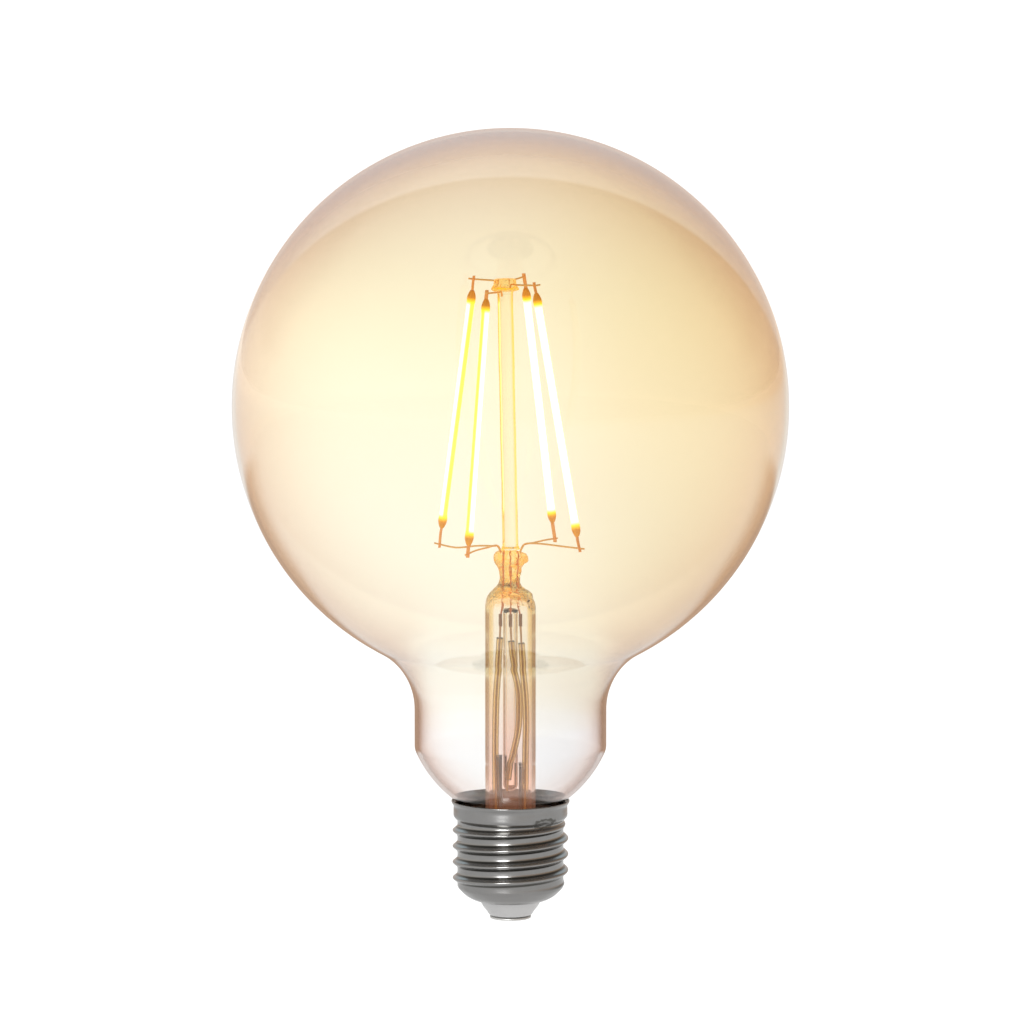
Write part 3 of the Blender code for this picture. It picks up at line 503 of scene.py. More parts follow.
def thread_tree() -> bpy.types.NodeTree:
    """Tree that rolls a right-handed round thread into a turned shell."""
    sizes = ("Pitch", "Depth", "Bottom", "Top", "Fade", "Crest Height", "Sharpness")
    writer, given = geometry_tree(
        "rolled_thread",
        {**{size: "NodeSocketFloat" for size in sizes}, "Material": "NodeSocketMaterial"},
    )
    place = writer.add("GeometryNodeInputPosition").outputs["Position"]
    split = writer.add("ShaderNodeSeparateXYZ")
    writer.link(place, split.inputs[0])
    x, y, z = split.outputs
    climb = writer.math("SUBTRACT", z, given.outputs["Crest Height"])
    turns = writer.math(
        "SUBTRACT",
        writer.math("DIVIDE", climb, given.outputs["Pitch"]),
        writer.math("DIVIDE", writer.math("ARCTAN2", y, x), FULL_TURN),
    )
    wave = writer.math("COSINE", writer.math("MULTIPLY", turns, FULL_TURN))
    wave = writer.math("MULTIPLY_ADD", wave, 0.5, 0.5)
    wave = writer.math("POWER", wave, given.outputs["Sharpness"])
    ends = writer.math(
        "MINIMUM",
        writer.math("SUBTRACT", z, given.outputs["Bottom"]),
        writer.math("SUBTRACT", given.outputs["Top"], z),
    )
    fade = writer.math("DIVIDE", ends, given.outputs["Fade"], clamp=True)
    lift = writer.math("MULTIPLY", writer.math("MULTIPLY", wave, fade), given.outputs["Depth"])
    flat = writer.vector("MULTIPLY", place, (1.0, 1.0, 0.0))
    away = writer.vector("NORMALIZE", flat)
    roll = writer.add("GeometryNodeSetPosition")
    writer.link(given.outputs["Geometry"], roll.inputs["Geometry"])
    writer.link(writer.scaled(away, lift), roll.inputs["Offset"])
    end_geometry(writer, given, roll.outputs["Geometry"])
    return writer.tree


def grown(name: str, seed: bpy.types.Mesh, tree: bpy.types.NodeTree, values: dict[str, object]) -> bpy.types.Mesh:
    """Run a geometry node tree on a mesh.

    Args:
        name: name of the mesh returned.
        seed: mesh that the tree starts from.
        tree: the tree.
        values: value of each named input.

    Returns:
        The plain mesh that the tree makes.
    """
    holder = bpy.data.objects.new(name + "_seed", seed)
    bpy.context.scene.collection.objects.link(holder)
    modifier = holder.modifiers.new("tree", "NODES")
    modifier.node_group = tree
    for item in tree.interface.items_tree:
        if item.in_out == "INPUT" and item.name in values:
            modifier[item.identifier] = values[item.name]
    bpy.context.view_layer.update()
    graph = bpy.context.evaluated_depsgraph_get()
    mesh = bpy.data.meshes.new_from_object(holder.evaluated_get(graph))
    holder.modifiers.remove(modifier)
    bpy.data.objects.remove(holder, do_unlink=True)
    mesh.name = name
    sheet = bmesh.new()
    sheet.from_mesh(mesh)
    bmesh.ops.remove_doubles(sheet, verts=sheet.verts, dist=1e-7)
    bmesh.ops.recalc_face_normals(sheet, faces=sheet.faces)
    for face in sheet.faces:
        face.smooth = len(face.verts) < 5
    sheet.to_mesh(mesh)
    sheet.free()
    return mesh


# ---- Effects that several materials share ----------------------------------------------------------


def effect_tree(name: str, inputs: dict[str, tuple[str, object]], outputs: dict[str, str]) -> tuple:
    """Start a shader node group.

    Args:
        name: name of the group.
        inputs: socket type and first value of each input.
        outputs: socket type of each output.

    Returns:
        The group's tree, its input node and its output node.
    """
    tree = bpy.data.node_groups.new(name, "ShaderNodeTree")
    for label, (kind, value) in inputs.items():
        socket = tree.interface.new_socket(label, in_out="INPUT", socket_type=kind)
        socket.default_value = value
    for label, kind in outputs.items():
        tree.interface.new_socket(label, in_out="OUTPUT", socket_type=kind)
    writer = NodeTree(tree)
    return writer, writer.add("NodeGroupInput"), writer.add("NodeGroupOutput")


def mottle_group() -> bpy.types.NodeTree:
    """Soft patches that move a colour and a roughness a little to either side."""
    if "mottle" in bpy.data.node_groups:
        return bpy.data.node_groups["mottle"]
    writer, given, out = effect_tree(
        "mottle",
        {
            "Colour": ("NodeSocketColor", (0.8, 0.8, 0.8, 1.0)),
            "Second Colour": ("NodeSocketColor", (0.6, 0.6, 0.6, 1.0)),
            "Patches per Metre": ("NodeSocketFloat", 400.0),
            "Roughness": ("NodeSocketFloat", 0.4),
            "Roughness Range": ("NodeSocketFloat", 0.1),
        },
        {"Colour": "NodeSocketColor", "Roughness": "NodeSocketFloat", "Height": "NodeSocketFloat"},
    )
    place = writer.add("ShaderNodeTexCoord")
    noise = writer.add("ShaderNodeTexNoise")
    noise.inputs["Detail"].default_value = 5.0
    noise.inputs["Roughness"].default_value = 0.62
    writer.link(place.outputs["Object"], noise.inputs["Vector"])
    writer.link(given.outputs["Patches per Metre"], noise.inputs["Scale"])
    blend = writer.add("ShaderNodeMix", data_type="RGBA")
    writer.link(noise.outputs["Fac"], blend.inputs["Factor"])
    writer.link(given.outputs["Colour"], blend.inputs[6])
    writer.link(given.outputs["Second Colour"], blend.inputs[7])
    writer.link(blend.outputs[2], out.inputs["Colour"])
    swing = writer.math("SUBTRACT", noise.outputs["Fac"], 0.5)
    rough = writer.math("MULTIPLY_ADD", swing, given.outputs["Roughness Range"], given.outputs["Roughness"])
    writer.link(writer.math("MAXIMUM", rough, 0.02), out.inputs["Roughness"])
    writer.link(noise.outputs["Fac"], out.inputs["Height"])
    return writer.tree


def drawn_group() -> bpy.types.NodeTree:
    """Fine level marks that turning, rolling or drawing leaves round a metal piece."""
    if "drawn_marks" in bpy.data.node_groups:
        return bpy.data.node_groups["drawn_marks"]
    writer, given, out = effect_tree(
        "drawn_marks",
        {
            "Marks per Metre": ("NodeSocketFloat", 9000.0),
            "Stretch": ("NodeSocketVector", (0.03, 0.03, 1.0)),
            "Roughness": ("NodeSocketFloat", 0.25),
            "Roughness Range": ("NodeSocketFloat", 0.2),
        },
        {"Roughness": "NodeSocketFloat", "Height": "NodeSocketFloat"},
    )
    place = writer.add("ShaderNodeTexCoord")
    longer = writer.vector("MULTIPLY", place.outputs["Object"], given.outputs["Stretch"])
    noise = writer.add("ShaderNodeTexNoise")
    noise.inputs["Detail"].default_value = 3.0
    writer.link(longer, noise.inputs["Vector"])
    writer.link(given.outputs["Marks per Metre"], noise.inputs["Scale"])
    swing = writer.math("SUBTRACT", noise.outputs["Fac"], 0.5)
    rough = writer.math("MULTIPLY_ADD", swing, given.outputs["Roughness Range"], given.outputs["Roughness"])
    writer.link(writer.math("MAXIMUM", rough, 0.03), out.inputs["Roughness"])
    writer.link(noise.outputs["Fac"], out.inputs["Height"])
    return writer.tree


# ---- Finishes --------------------------------------------------------------------------------------


class Slot(Enum):
    """Material slots of the record."""

    AMBER_GLASS = "amber_glass"
    STEM_GLASS = "stem_glass"
    NICKEL_SHELL = "nickel_shell"
    NICKEL_WIRE = "nickel_wire"
    INSULATOR = "insulator_glass"
    CEMENT = "cap_cement"
    PHOSPHOR = "phosphor_coat"
    CERAMIC = "ceramic_strip"
    TAB = "copper_tab"
    COPPER = "copper_lead"
    STRAND = "dark_strand"
    SLEEVE = "amber_sleeve"
    BOARD = "board_laminate"
    CHIP = "chip_black"
    FERRITE = "ferrite"


@dataclass
class Paint(NodeTree):
    """The node tree of one material, with its Principled shader."""

    shader: bpy.types.Node
    material: bpy.types.Material

    @classmethod
    def named(cls, name: str) -> "Paint":
        """Start a material.

        Args:
            name: its name.

        Returns:
            Its tree with the shader in place.
        """
        material = bpy.data.materials.new(name)
        material.use_nodes = True
        shader = material.node_tree.nodes["Principled BSDF"]
        return cls(material.node_tree, shader, material)

    def set(self, **values: object) -> None:
        """Set plain values or links on the shader's sockets, with _ for a space in a name."""
        for label, value in values.items():
            if isinstance(value, tuple) and len(value) == 3 and "Color" in label:
                value = (*value, 1.0)
            self.fill(self.shader.inputs[label.replace("_", " ")], value)

    def place_group(self, group: bpy.types.NodeTree, values: dict[str, object]) -> bpy.types.Node:
        """Add a shared effect with this material's own values."""
        node = self.add("ShaderNodeGroup", node_tree=group)
        for label, value in values.items():
            if isinstance(value, tuple) and "Colour" in label:
                value = (*value, 1.0)
            self.fill(node.inputs[label], value)
        return node

    def bump(self, height: bpy.types.NodeSocket, strength: float, distance: float) -> None:
        """Give the surface a fine relief.

        Args:
            height: output that says how high each point is, from 0 to 1.
            strength: how much of it shows.
            distance: height of the relief in metres.
        """
        node = self.add("ShaderNodeBump")
        node.inputs["Strength"].default_value = strength
        node.inputs["Distance"].default_value = distance
        self.link(height, node.inputs["Height"])
        self.link(node.outputs["Normal"], self.shader.inputs["Normal"])

    def object_axes(self) -> list[bpy.types.NodeSocket]:
        """The X, Y and Z outputs of the Object coordinates."""
        place = self.add("ShaderNodeTexCoord")
        split = self.add("ShaderNodeSeparateXYZ")
        self.link(place.outputs["Object"], split.inputs[0])
        return list(split.outputs)


@dataclass(frozen=True)
class Finish:
    """A plain opaque finish with soft patches."""

    name: str
    slot: Slot
    colour: Colour
    second_colour: Colour
    roughness: float = 0.5
    roughness_range: float = 0.2
    metallic: float = 0.0
    patches: float = 500.0
    relief: float = 0.02 * MM
    # painted light: strength of a glow in the finish's own colour, for the filaments' light on the piece
    painted_filament_glow: float = 0.0

    def material(self) -> bpy.types.Material:
        """The finish's material, built the first time that it is asked for."""
        title = f"lamp_{self.name}"
        if title not in bpy.data.materials:
            self.compose(Paint.named(title))
        return bpy.data.materials[title]

    def compose(self, paint: Paint) -> None:
        """Write the material's nodes."""
        mottle = self.mottle(paint)
        paint.set(Base_Color=mottle.outputs["Colour"], Roughness=mottle.outputs["Roughness"])
        paint.set(Metallic=self.metallic)
        self.paint_filament_glow(paint, mottle)
        paint.bump(mottle.outputs["Height"], 0.5, self.relief)

    def paint_filament_glow(self, paint: Paint, mottle: bpy.types.Node) -> None:
        """Painted light: the piece glows faintly in its own colour, standing in for the filaments' light falling on it.
        """
        if self.painted_filament_glow:
            paint.set(Emission_Color=mottle.outputs["Colour"], Emission_Strength=self.painted_filament_glow)

    def mottle(self, paint: Paint) -> bpy.types.Node:
        """Place the mottle effect with this finish's values."""
        values = {
            "Colour": self.colour,
            "Second Colour": self.second_colour,
            "Patches per Metre": self.patches,
            "Roughness": self.roughness,
            "Roughness Range": self.roughness_range,
        }
        return paint.place_group(mottle_group(), values)


@dataclass(frozen=True)
class DrawnMetal(Finish):
    """Rolled or drawn metal, with fine marks along one direction."""

    marks: float = 9000.0
    stretch: tuple[float, float, float] = (0.03, 0.03, 1.0)
    coat: float = 0.0

    def compose(self, paint: Paint) -> None:
        """Write the material's nodes."""
        mottle = self.mottle(paint)
        marks = self.drawn(paint, mottle.outputs["Roughness"])
        paint.set(Base_Color=mottle.outputs["Colour"], Roughness=marks.outputs["Roughness"])
        paint.set(Metallic=self.metallic, Coat_Weight=self.coat)
        self.paint_filament_glow(paint, mottle)
        paint.bump(marks.outputs["Height"], 0.35, self.relief)

    def drawn(self, paint: Paint, roughness: bpy.types.NodeSocket) -> bpy.types.Node:
        """Place the drawn marks over a roughness."""
        values = {
            "Marks per Metre": self.marks,
            "Stretch": self.stretch,
            "Roughness": roughness,
            "Roughness Range": self.roughness_range,
        }
        return paint.place_group(drawn_group(), values)


@dataclass(frozen=True)
class ShellMetal(DrawnMetal):
    """Nickel plate of the screw shell: painted shade darkens the thread's grooves, and a dark rough mark lies round the
    staking dent.
    """

    root_radius: float = 12.0 * MM
    crest_radius: float = 13.1 * MM
    groove_shade_and_mark_colour: Colour = (0.035, 0.032, 0.022)
    stake: tuple[float, float, float] = (0.0, 0.0, 0.0)
    stake_size: float = 3.3 * MM
    thread_top: float = 22.3 * MM

    def compose(self, paint: Paint) -> None:
        """Write the material's nodes."""
        mottle = self.mottle(paint)
        marks = self.drawn(paint, mottle.outputs["Roughness"])
        x, y, z = paint.object_axes()
        flat = paint.math("SQRT", paint.math("ADD", paint.math("POWER", x, 2.0), paint.math("POWER", y, 2.0)))
        foot = self.root_radius
        # painted shade: the grooves between the thread's turns are darkened, as shade falls in them
        groove_shade = paint.math("SUBTRACT", 1.0, paint.smooth_step(flat, foot + 0.30 * MM, foot + 0.55 * MM))
        groove_shade = paint.math("MULTIPLY", groove_shade, paint.smooth_step(flat, foot + 0.02 * MM, foot + 0.14 * MM))
        below = paint.math("SUBTRACT", 1.0, paint.smooth_step(z, self.thread_top - MM, self.thread_top))
        above = paint.smooth_step(z, 7.0 * MM, 8.0 * MM)
        groove_shade = paint.math("MULTIPLY", groove_shade, paint.math("MULTIPLY", below, above))
        groove_shade = paint.math("MULTIPLY", groove_shade, 0.8)
        away = paint.add("ShaderNodeVectorMath", operation="DISTANCE")
        join = paint.add("ShaderNodeCombineXYZ")
        for socket, value, scale, middle in zip(join.inputs, (x, y, z), (1.0, 1.0, 2.8), self.stake):
            paint.link(paint.math("MULTIPLY", paint.math("SUBTRACT", value, middle), scale), socket)
        paint.link(join.outputs[0], away.inputs[0])
        grain = paint.add("ShaderNodeTexNoise")
        grain.inputs["Scale"].default_value = 1400.0
        place = paint.add("ShaderNodeTexCoord")
        paint.link(place.outputs["Object"], grain.inputs["Vector"])
        reach = paint.math("MULTIPLY_ADD", grain.outputs["Fac"], 2.6 * MM, away.outputs["Value"])
        size = self.stake_size
        out = paint.math("SUBTRACT", 1.0, paint.smooth_step(reach, size * 1.25, size * 1.5))
        ring = paint.math("MULTIPLY", out, paint.smooth_step(reach, size * 0.85, size * 1.1))
        near = paint.math("MAXIMUM", ring, paint.math("MULTIPLY", out, 0.35))
        dirt = paint.math("MULTIPLY", near, 0.62)
        # one near-black colour paints the grooves' shade and the staking mark
        colour = paint.blend(groove_shade, mottle.outputs["Colour"], self.groove_shade_and_mark_colour)
        colour = paint.blend(dirt, colour, self.groove_shade_and_mark_colour)
        rough = paint.math("ADD", marks.outputs["Roughness"], paint.math("MULTIPLY", near, 0.25))
        paint.set(Base_Color=colour, Roughness=rough, Metallic=self.metallic)
        paint.bump(marks.outputs["Height"], 0.35, self.relief)


@dataclass(frozen=True)
class ClearGlass(Finish):
    """Drawn glass tube or rod, a little tinted and never quite even."""

    ior: float = 1.5
    transmission: float = 1.0
    edge_colour: Colour = (0.9, 0.8, 0.6)
    edge_from: float = 0.1
    edge_to: float = 0.9
    # painted light: colour and strength of a glow that the glass does not really give off
    painted_glow_colour: Colour = (1.0, 0.66, 0.12)
    lit: float = 0.0
    lit_from: float = 60.0 * MM
    lit_to: float = 84.0 * MM

    def edge(self, paint: Paint) -> bpy.types.NodeSocket:
        """Mask that rises from 0 where the glass is seen square on to 1 along its outline."""
        facing = paint.add("ShaderNodeLayerWeight")
        facing.inputs["Blend"].default_value = 0.5
        return paint.smooth_step(facing.outputs["Facing"], self.edge_from, self.edge_to)

    def compose(self, paint: Paint) -> None:
        """Write the material's nodes."""
        mottle = self.mottle(paint)
        colour = paint.blend(self.edge(paint), mottle.outputs["Colour"], self.edge_colour)
        paint.set(Base_Color=colour, Roughness=self.roughness, Metallic=0.0)
        paint.set(IOR=self.ior, Transmission_Weight=self.transmission)
        # painted light: from lit_from to lit_to the glass glows along its outline, standing in for the filaments' light
        # caught in it
        if self.lit:
            _, _, z = paint.object_axes()
            near = paint.math("MULTIPLY", paint.smooth_step(z, self.lit_from, self.lit_to), self.lit)
            paint.set(Emission_Color=self.painted_glow_colour, Emission_Strength=paint.math("MULTIPLY", near, self.edge(paint)))
        paint.bump(mottle.outputs["Height"], 0.25, self.relief)


@dataclass(frozen=True)
class StemGlass(ClearGlass):
    """Glass of the stem, crumpled where it was pressed, with the press painted golden for the filaments' light in it,
    and rosy down by the flare.
    """

    press_low: float = 70.0 * MM
    press_high: float = 76.0 * MM
    press_glow_colours: tuple[Colour, Colour] = ((1.0, 0.84, 0.42), (1.0, 0.56, 0.10))
    rosy: Colour = (0.99, 0.88, 0.83)
    rosy_edge: Colour = (0.96, 0.66, 0.54)
    rosy_top: float = 62.0 * MM
    foot_glow: Colour = (0.85, 0.42, 0.26)
    foot_top: float = 38.0 * MM

    def compose(self, paint: Paint) -> None:
        """Write the material's nodes."""
        mottle = self.mottle(paint)
        _, _, z = paint.object_axes()
        pressed = paint.smooth_step(z, self.press_low, self.press_high)
        low = paint.math("SUBTRACT", 1.0, paint.smooth_step(z, 30.0 * MM, self.rosy_top))
        edge = self.edge(paint)
        middle = paint.blend(low, mottle.outputs["Colour"], self.rosy)
        rim = paint.blend(low, self.edge_colour, self.rosy_edge)
        folds = paint.add("ShaderNodeTexNoise")
        folds.inputs["Scale"].default_value = 620.0
        folds.inputs["Distortion"].default_value = 1.5
        paint.link(paint.add("ShaderNodeTexCoord").outputs["Object"], folds.inputs["Vector"])
        fold = paint.smooth_step(folds.outputs["Fac"], 0.4, 0.62)
        gold = paint.blend(fold, *self.press_glow_colours)
        paint.set(Base_Color=paint.blend(pressed, paint.blend(edge, middle, rim), gold))
        paint.set(Roughness=self.roughness, Metallic=0.0, IOR=self.ior, Transmission_Weight=self.transmission)
        # painted light: the press glows along its folds and the foot of the stem glows orange, though the glass gives
        # off no light
        foot = paint.math("SUBTRACT", 1.0, paint.smooth_step(z, 26.0 * MM, self.foot_top))
        glow = paint.blend(foot, self.painted_glow_colour, self.foot_glow)
        painted_glow_strength = paint.math("MULTIPLY", pressed, paint.math("MULTIPLY_ADD", fold, 0.10, 0.02))
        painted_glow_strength = paint.math("MULTIPLY_ADD", foot, 0.06, painted_glow_strength)
        paint.set(Emission_Color=glow, Emission_Strength=painted_glow_strength)
        paint.bump(paint.math("MULTIPLY", fold, pressed), 0.6, 0.15 * MM)


@dataclass(frozen=True)
class AmberGlass(ClearGlass):
    """Blown glass with an amber film that thins out down the neck, made denser on one side as painted shade."""

    film: Colour = (0.04, 0.25, 1.0)
    density: tuple[tuple[float, float], ...] = (
        (0.040, 0.02), (0.044, 0.04), (0.046, 0.12), (0.059, 0.22), (0.072, 0.29),
        (0.095, 0.33), (0.116, 0.40), (0.140, 0.50), (0.167, 0.66),
    )
    side_shade_density: float = 0.42
    side_shade_film: Colour = (0.13, 0.15, 0.04)
    side_shade_start: float = 50.0 * MM
    crown_film: Colour = (0.16, 0.19, 0.03)
    crown_start: float = 132.0 * MM
    crown_full: float = 172.0 * MM
    grazing_film_and_shade: Colour = (0.30, 0.85, 1.10)
    crown_outline_shade: Colour = (0.90, 1.70, 1.70)
    neck_shade: Colour = (0.23, 0.24, 0.22)
    neck_outline_shade: Colour = (2.20, 3.10, 3.60)

    def compose(self, paint: Paint) -> None:
        """Write the material's nodes."""
        x, _, z = paint.object_axes()
        density = paint.ramp(z, self.density)
        # painted shade: extra film darkens and yellows the globe's +X side above the neck
        side = paint.math(
            "MULTIPLY",
            paint.smooth_step(x, -12.0 * MM, 50.0 * MM),
            paint.smooth_step(z, 44.0 * MM, self.side_shade_start),
        )
        density = paint.math("MULTIPLY_ADD", side, self.side_shade_density, density)
        crown = paint.smooth_step(z, self.crown_start, self.crown_full)
        low = paint.math("SUBTRACT", 1.0, paint.smooth_step(z, 50.0 * MM, 68.0 * MM))
        right = paint.math("MULTIPLY_ADD", paint.smooth_step(x, -12.0 * MM, 22.0 * MM), 0.72, 0.28)
        neck = paint.math("MULTIPLY", low, right)
        mottle = self.mottle(paint)
        patch = paint.math("MULTIPLY_ADD", mottle.outputs["Height"], 0.1, 0.95)
        density = paint.math("MULTIPLY", density, patch)
        side = paint.math("MULTIPLY", side, paint.math("MULTIPLY_ADD", crown, -0.45, 1.0))
        # The outlines darken: partly the film's longer path at a slant, partly painted shade. The neck and crown
        # outlines get extra painted brown shade.
        edge = self.edge(paint)
        outline = paint.math("POWER", edge, 3.0)
        low_edge = paint.math("MULTIPLY", outline, low)
        high_edge = paint.math("MULTIPLY", outline, crown)
        # painted light: in the middle of the shoulder the outline tint is taken away, which lightens the glass there
        middle = paint.math("SUBTRACT", 1.0, paint.smooth_step(paint.math("ABSOLUTE", x), 16.0 * MM, 25.0 * MM))
        shoulder = paint.math("SUBTRACT", 1.0, paint.smooth_step(z, 64.0 * MM, 74.0 * MM))
        shoulder = paint.math("MULTIPLY", shoulder, paint.smooth_step(z, 46.0 * MM, 54.0 * MM))
        shoulder = paint.math("MULTIPLY", shoulder, middle)
        edge = paint.math("MULTIPLY", edge, paint.math("SUBTRACT", 1.0, shoulder))
        low_edge = paint.math("MULTIPLY", low_edge, paint.math("SUBTRACT", 1.0, shoulder))
        join = paint.add("ShaderNodeCombineColor")
        masks = (side, edge, crown, neck, low_edge, high_edge)
        films = zip(
            self.side_shade_film, self.grazing_film_and_shade, self.crown_film, self.neck_shade, self.neck_outline_shade, self.crown_outline_shade
        )
        for socket, share, parts in zip(join.inputs, self.film, films):
            depth = paint.math("MULTIPLY", density, -0.5 * share)
            for mask, part in zip(masks, parts):
                depth = paint.math("MULTIPLY_ADD", mask, -0.5 * part, depth)
            paint.link(paint.math("EXPONENT", depth), socket)
        paint.set(Base_Color=join.outputs[0], Roughness=self.roughness, Metallic=0.0)
        paint.set(IOR=self.ior, Transmission_Weight=self.transmission)
        paint.bump(mottle.outputs["Height"], 0.15, self.relief)


@dataclass(frozen=True)
class Phosphor(Finish):
    """Silicone with phosphor over the row of chips. It glows but for its two ends and a paler stripe."""

    glow: float = 2.4
    mirrored_share: float = 0.25
    glow_colour: Colour = (1.0, 0.93, 0.70)
    stripe_colour: Colour = (0.62, 0.58, 0.06)
    stripe_half_width: float = 0.21
    end_share: float = 0.045

    def compose(self, paint: Paint) -> None:
        """Write the material's nodes."""
        mottle = self.mottle(paint)
        wrap = paint.add("ShaderNodeUVMap", uv_map="wrap")
        split = paint.add("ShaderNodeSeparateXYZ")
        paint.link(wrap.outputs["UV"], split.inputs[0])
        around, along = split.outputs[0], split.outputs[1]
        from_stripe = paint.math("ABSOLUTE", paint.math("SUBTRACT", paint.math("FRACT", around), 0.5))
        stripe = paint.math(
            "SUBTRACT",
            1.0,
            paint.smooth_step(from_stripe, self.stripe_half_width - 0.05, self.stripe_half_width + 0.03),
        )
        lit = paint.blend(stripe, self.glow_colour, self.stripe_colour)
        from_end = paint.math("MINIMUM", along, paint.math("SUBTRACT", 1.0, along))
        inside = paint.smooth_step(from_end, self.end_share, self.end_share + 0.02)
        warm = paint.smooth_step(from_end, self.end_share - 0.02, self.end_share + 0.006)
        low = paint.blend(warm, (0.10, 0.025, 0.0), (0.60, 0.36, 0.01))
        paint.set(Base_Color=mottle.outputs["Colour"], Roughness=mottle.outputs["Roughness"])
        path = paint.add("ShaderNodeLightPath")
        mirrored = paint.math("MINIMUM", path.outputs["Glossy Depth"], 1.0)
        strength = paint.math("MULTIPLY_ADD", mirrored, self.glow * (self.mirrored_share - 1.0), self.glow)
        paint.set(Emission_Color=paint.blend(inside, low, lit), Emission_Strength=strength)
        paint.bump(mottle.outputs["Height"], 0.3, self.relief)


@dataclass(frozen=True)
class Laminate(Finish):
    """Board laminate with solder mask, copper runs under it and tinned pads."""

    runs: float = 900.0
    pad_colour: Colour = (0.62, 0.60, 0.55)

    def compose(self, paint: Paint) -> None:
        """Write the material's nodes."""
        mottle = self.mottle(paint)
        place = paint.add("ShaderNodeTexCoord")
        cells = paint.add("ShaderNodeTexVoronoi", feature="DISTANCE_TO_EDGE", distance="CHEBYCHEV")
        cells.inputs["Scale"].default_value = self.runs
        paint.link(place.outputs["Object"], cells.inputs["Vector"])
        run = paint.smooth_step(cells.outputs["Distance"], 0.05, 0.09)
        dots = paint.add("ShaderNodeTexVoronoi")
        dots.inputs["Scale"].default_value = self.runs * 0.55
        paint.link(place.outputs["Object"], dots.inputs["Vector"])
        pad = paint.math("SUBTRACT", 1.0, paint.smooth_step(dots.outputs["Distance"], 0.16, 0.2))
        colour = paint.blend(run, self.second_colour, mottle.outputs["Colour"])
        paint.set(Base_Color=paint.blend(pad, colour, self.pad_colour), Roughness=mottle.outputs["Roughness"])
        paint.set(Metallic=pad)
        paint.bump(paint.math("ADD", run, pad), 0.4, self.relief)


@dataclass(frozen=True)
class Banded(Finish):
    """A moulded or dipped body with coloured bands across one axis."""

    axis: int = 2
    bands: tuple[tuple[float, Colour], ...] = ()
    band_half_width: float = 0.25 * MM

    def compose(self, paint: Paint) -> None:
        """Write the material's nodes."""
        mottle = self.mottle(paint)
        place = paint.object_axes()[self.axis]
        colour = mottle.outputs["Colour"]
        for middle, band in self.bands:
            gap = paint.math("ABSOLUTE", paint.math("SUBTRACT", place, middle))
            edge = paint.smooth_step(gap, self.band_half_width * 0.9, self.band_half_width * 1.1)
            colour = paint.blend(edge, band, colour)
        paint.set(Base_Color=colour, Roughness=mottle.outputs["Roughness"], Metallic=self.metallic)
        paint.bump(mottle.outputs["Height"], 0.4, self.relief)


# The stem, rod and crown are clear glass: their orange outlines, the crown's gold and their glow are painted light of
# the filaments seen through the glass.
STEM_GLASS = StemGlass(
    "stem_glass",
    Slot.STEM_GLASS,
    (1.0, 0.985, 0.96),
    (0.995, 0.965, 0.93),
    0.0,
    patches=60.0,
    edge_colour=(0.95, 0.64, 0.22),
    edge_from=0.28,
    edge_to=0.5,
    painted_glow_colour=(1.0, 0.50, 0.06),
)
ROD_GLASS = ClearGlass(
    "rod_glass",
    Slot.STEM_GLASS,
    (1.0, 0.98, 0.86),
    (1.0, 0.95, 0.76),
    0.0,
    patches=90.0,
    edge_colour=(0.98, 0.66, 0.10),
    edge_from=0.12,
    edge_to=0.42,
    lit=0.14,
    painted_glow_colour=(1.0, 0.52, 0.02),
)
PRESSED_GLASS = ClearGlass(
    "pressed_glass",
    Slot.STEM_GLASS,
    (1.0, 0.84, 0.45),
    (0.98, 0.66, 0.20),
    0.02,
    patches=700.0,
    relief=0.3 * MM,
    edge_colour=(1.0, 0.58, 0.10),
    lit=0.25,
    painted_glow_colour=(1.0, 0.50, 0.04),
)
AMBER = AmberGlass(
    "amber_glass", Slot.AMBER_GLASS, (1.0, 1.0, 1.0), (0.0, 0.0, 0.0), 0.0, patches=24.0, edge_from=0.15, edge_to=1.05
)
PHOSPHOR = Phosphor("phosphor", Slot.PHOSPHOR, (0.95, 0.50, 0.06), (0.90, 0.40, 0.03), 0.55, patches=1500.0)
CERAMIC = Finish("ceramic", Slot.CERAMIC, (0.86, 0.86, 0.83), (0.74, 0.73, 0.70), 0.45)
TAB_METAL = DrawnMetal(
    "tab_metal", Slot.TAB, (0.85, 0.40, 0.13), (0.68, 0.27, 0.07), 0.34, metallic=0.85, patches=1600.0, relief=0.01 * MM, painted_filament_glow=0.4
)
# painted light: the nickel wires are coloured orange-brown for the filaments' warm light on them
WIRE_METAL = DrawnMetal(
    "wire_metal", Slot.NICKEL_WIRE, (0.80, 0.46, 0.15), (0.62, 0.30, 0.08), 0.3, metallic=0.85, relief=0.005 * MM, painted_filament_glow=0.4
)
LEAD_COPPER = DrawnMetal(
    "lead_copper", Slot.COPPER, (0.72, 0.30, 0.12), (0.55, 0.18, 0.07), 0.3, metallic=1.0, relief=0.005 * MM, painted_filament_glow=0.3
)
ENAMEL_COPPER = DrawnMetal(
    "enamelled_copper", Slot.COPPER, (0.62, 0.26, 0.09), (0.5, 0.2, 0.07), 0.22, metallic=1.0, coat=0.6
)
STRAND = Finish(
    "dark_strand", Slot.STRAND, (0.55, 0.27, 0.08), (0.66, 0.36, 0.12), 0.45, metallic=0.3, patches=2500.0, painted_filament_glow=0.3
)
JOINT = Finish("joint", Slot.STRAND, (0.34, 0.15, 0.05), (0.46, 0.22, 0.08), 0.5, metallic=0.4, patches=1800.0, painted_filament_glow=0.25)
SLEEVE = ClearGlass(
    "sleeve",
    Slot.SLEEVE,
    (0.99, 0.88, 0.62),
    (0.98, 0.84, 0.52),
    0.1,
    patches=500.0,
    ior=1.3,
    transmission=0.95,
    edge_colour=(0.90, 0.60, 0.20),
)
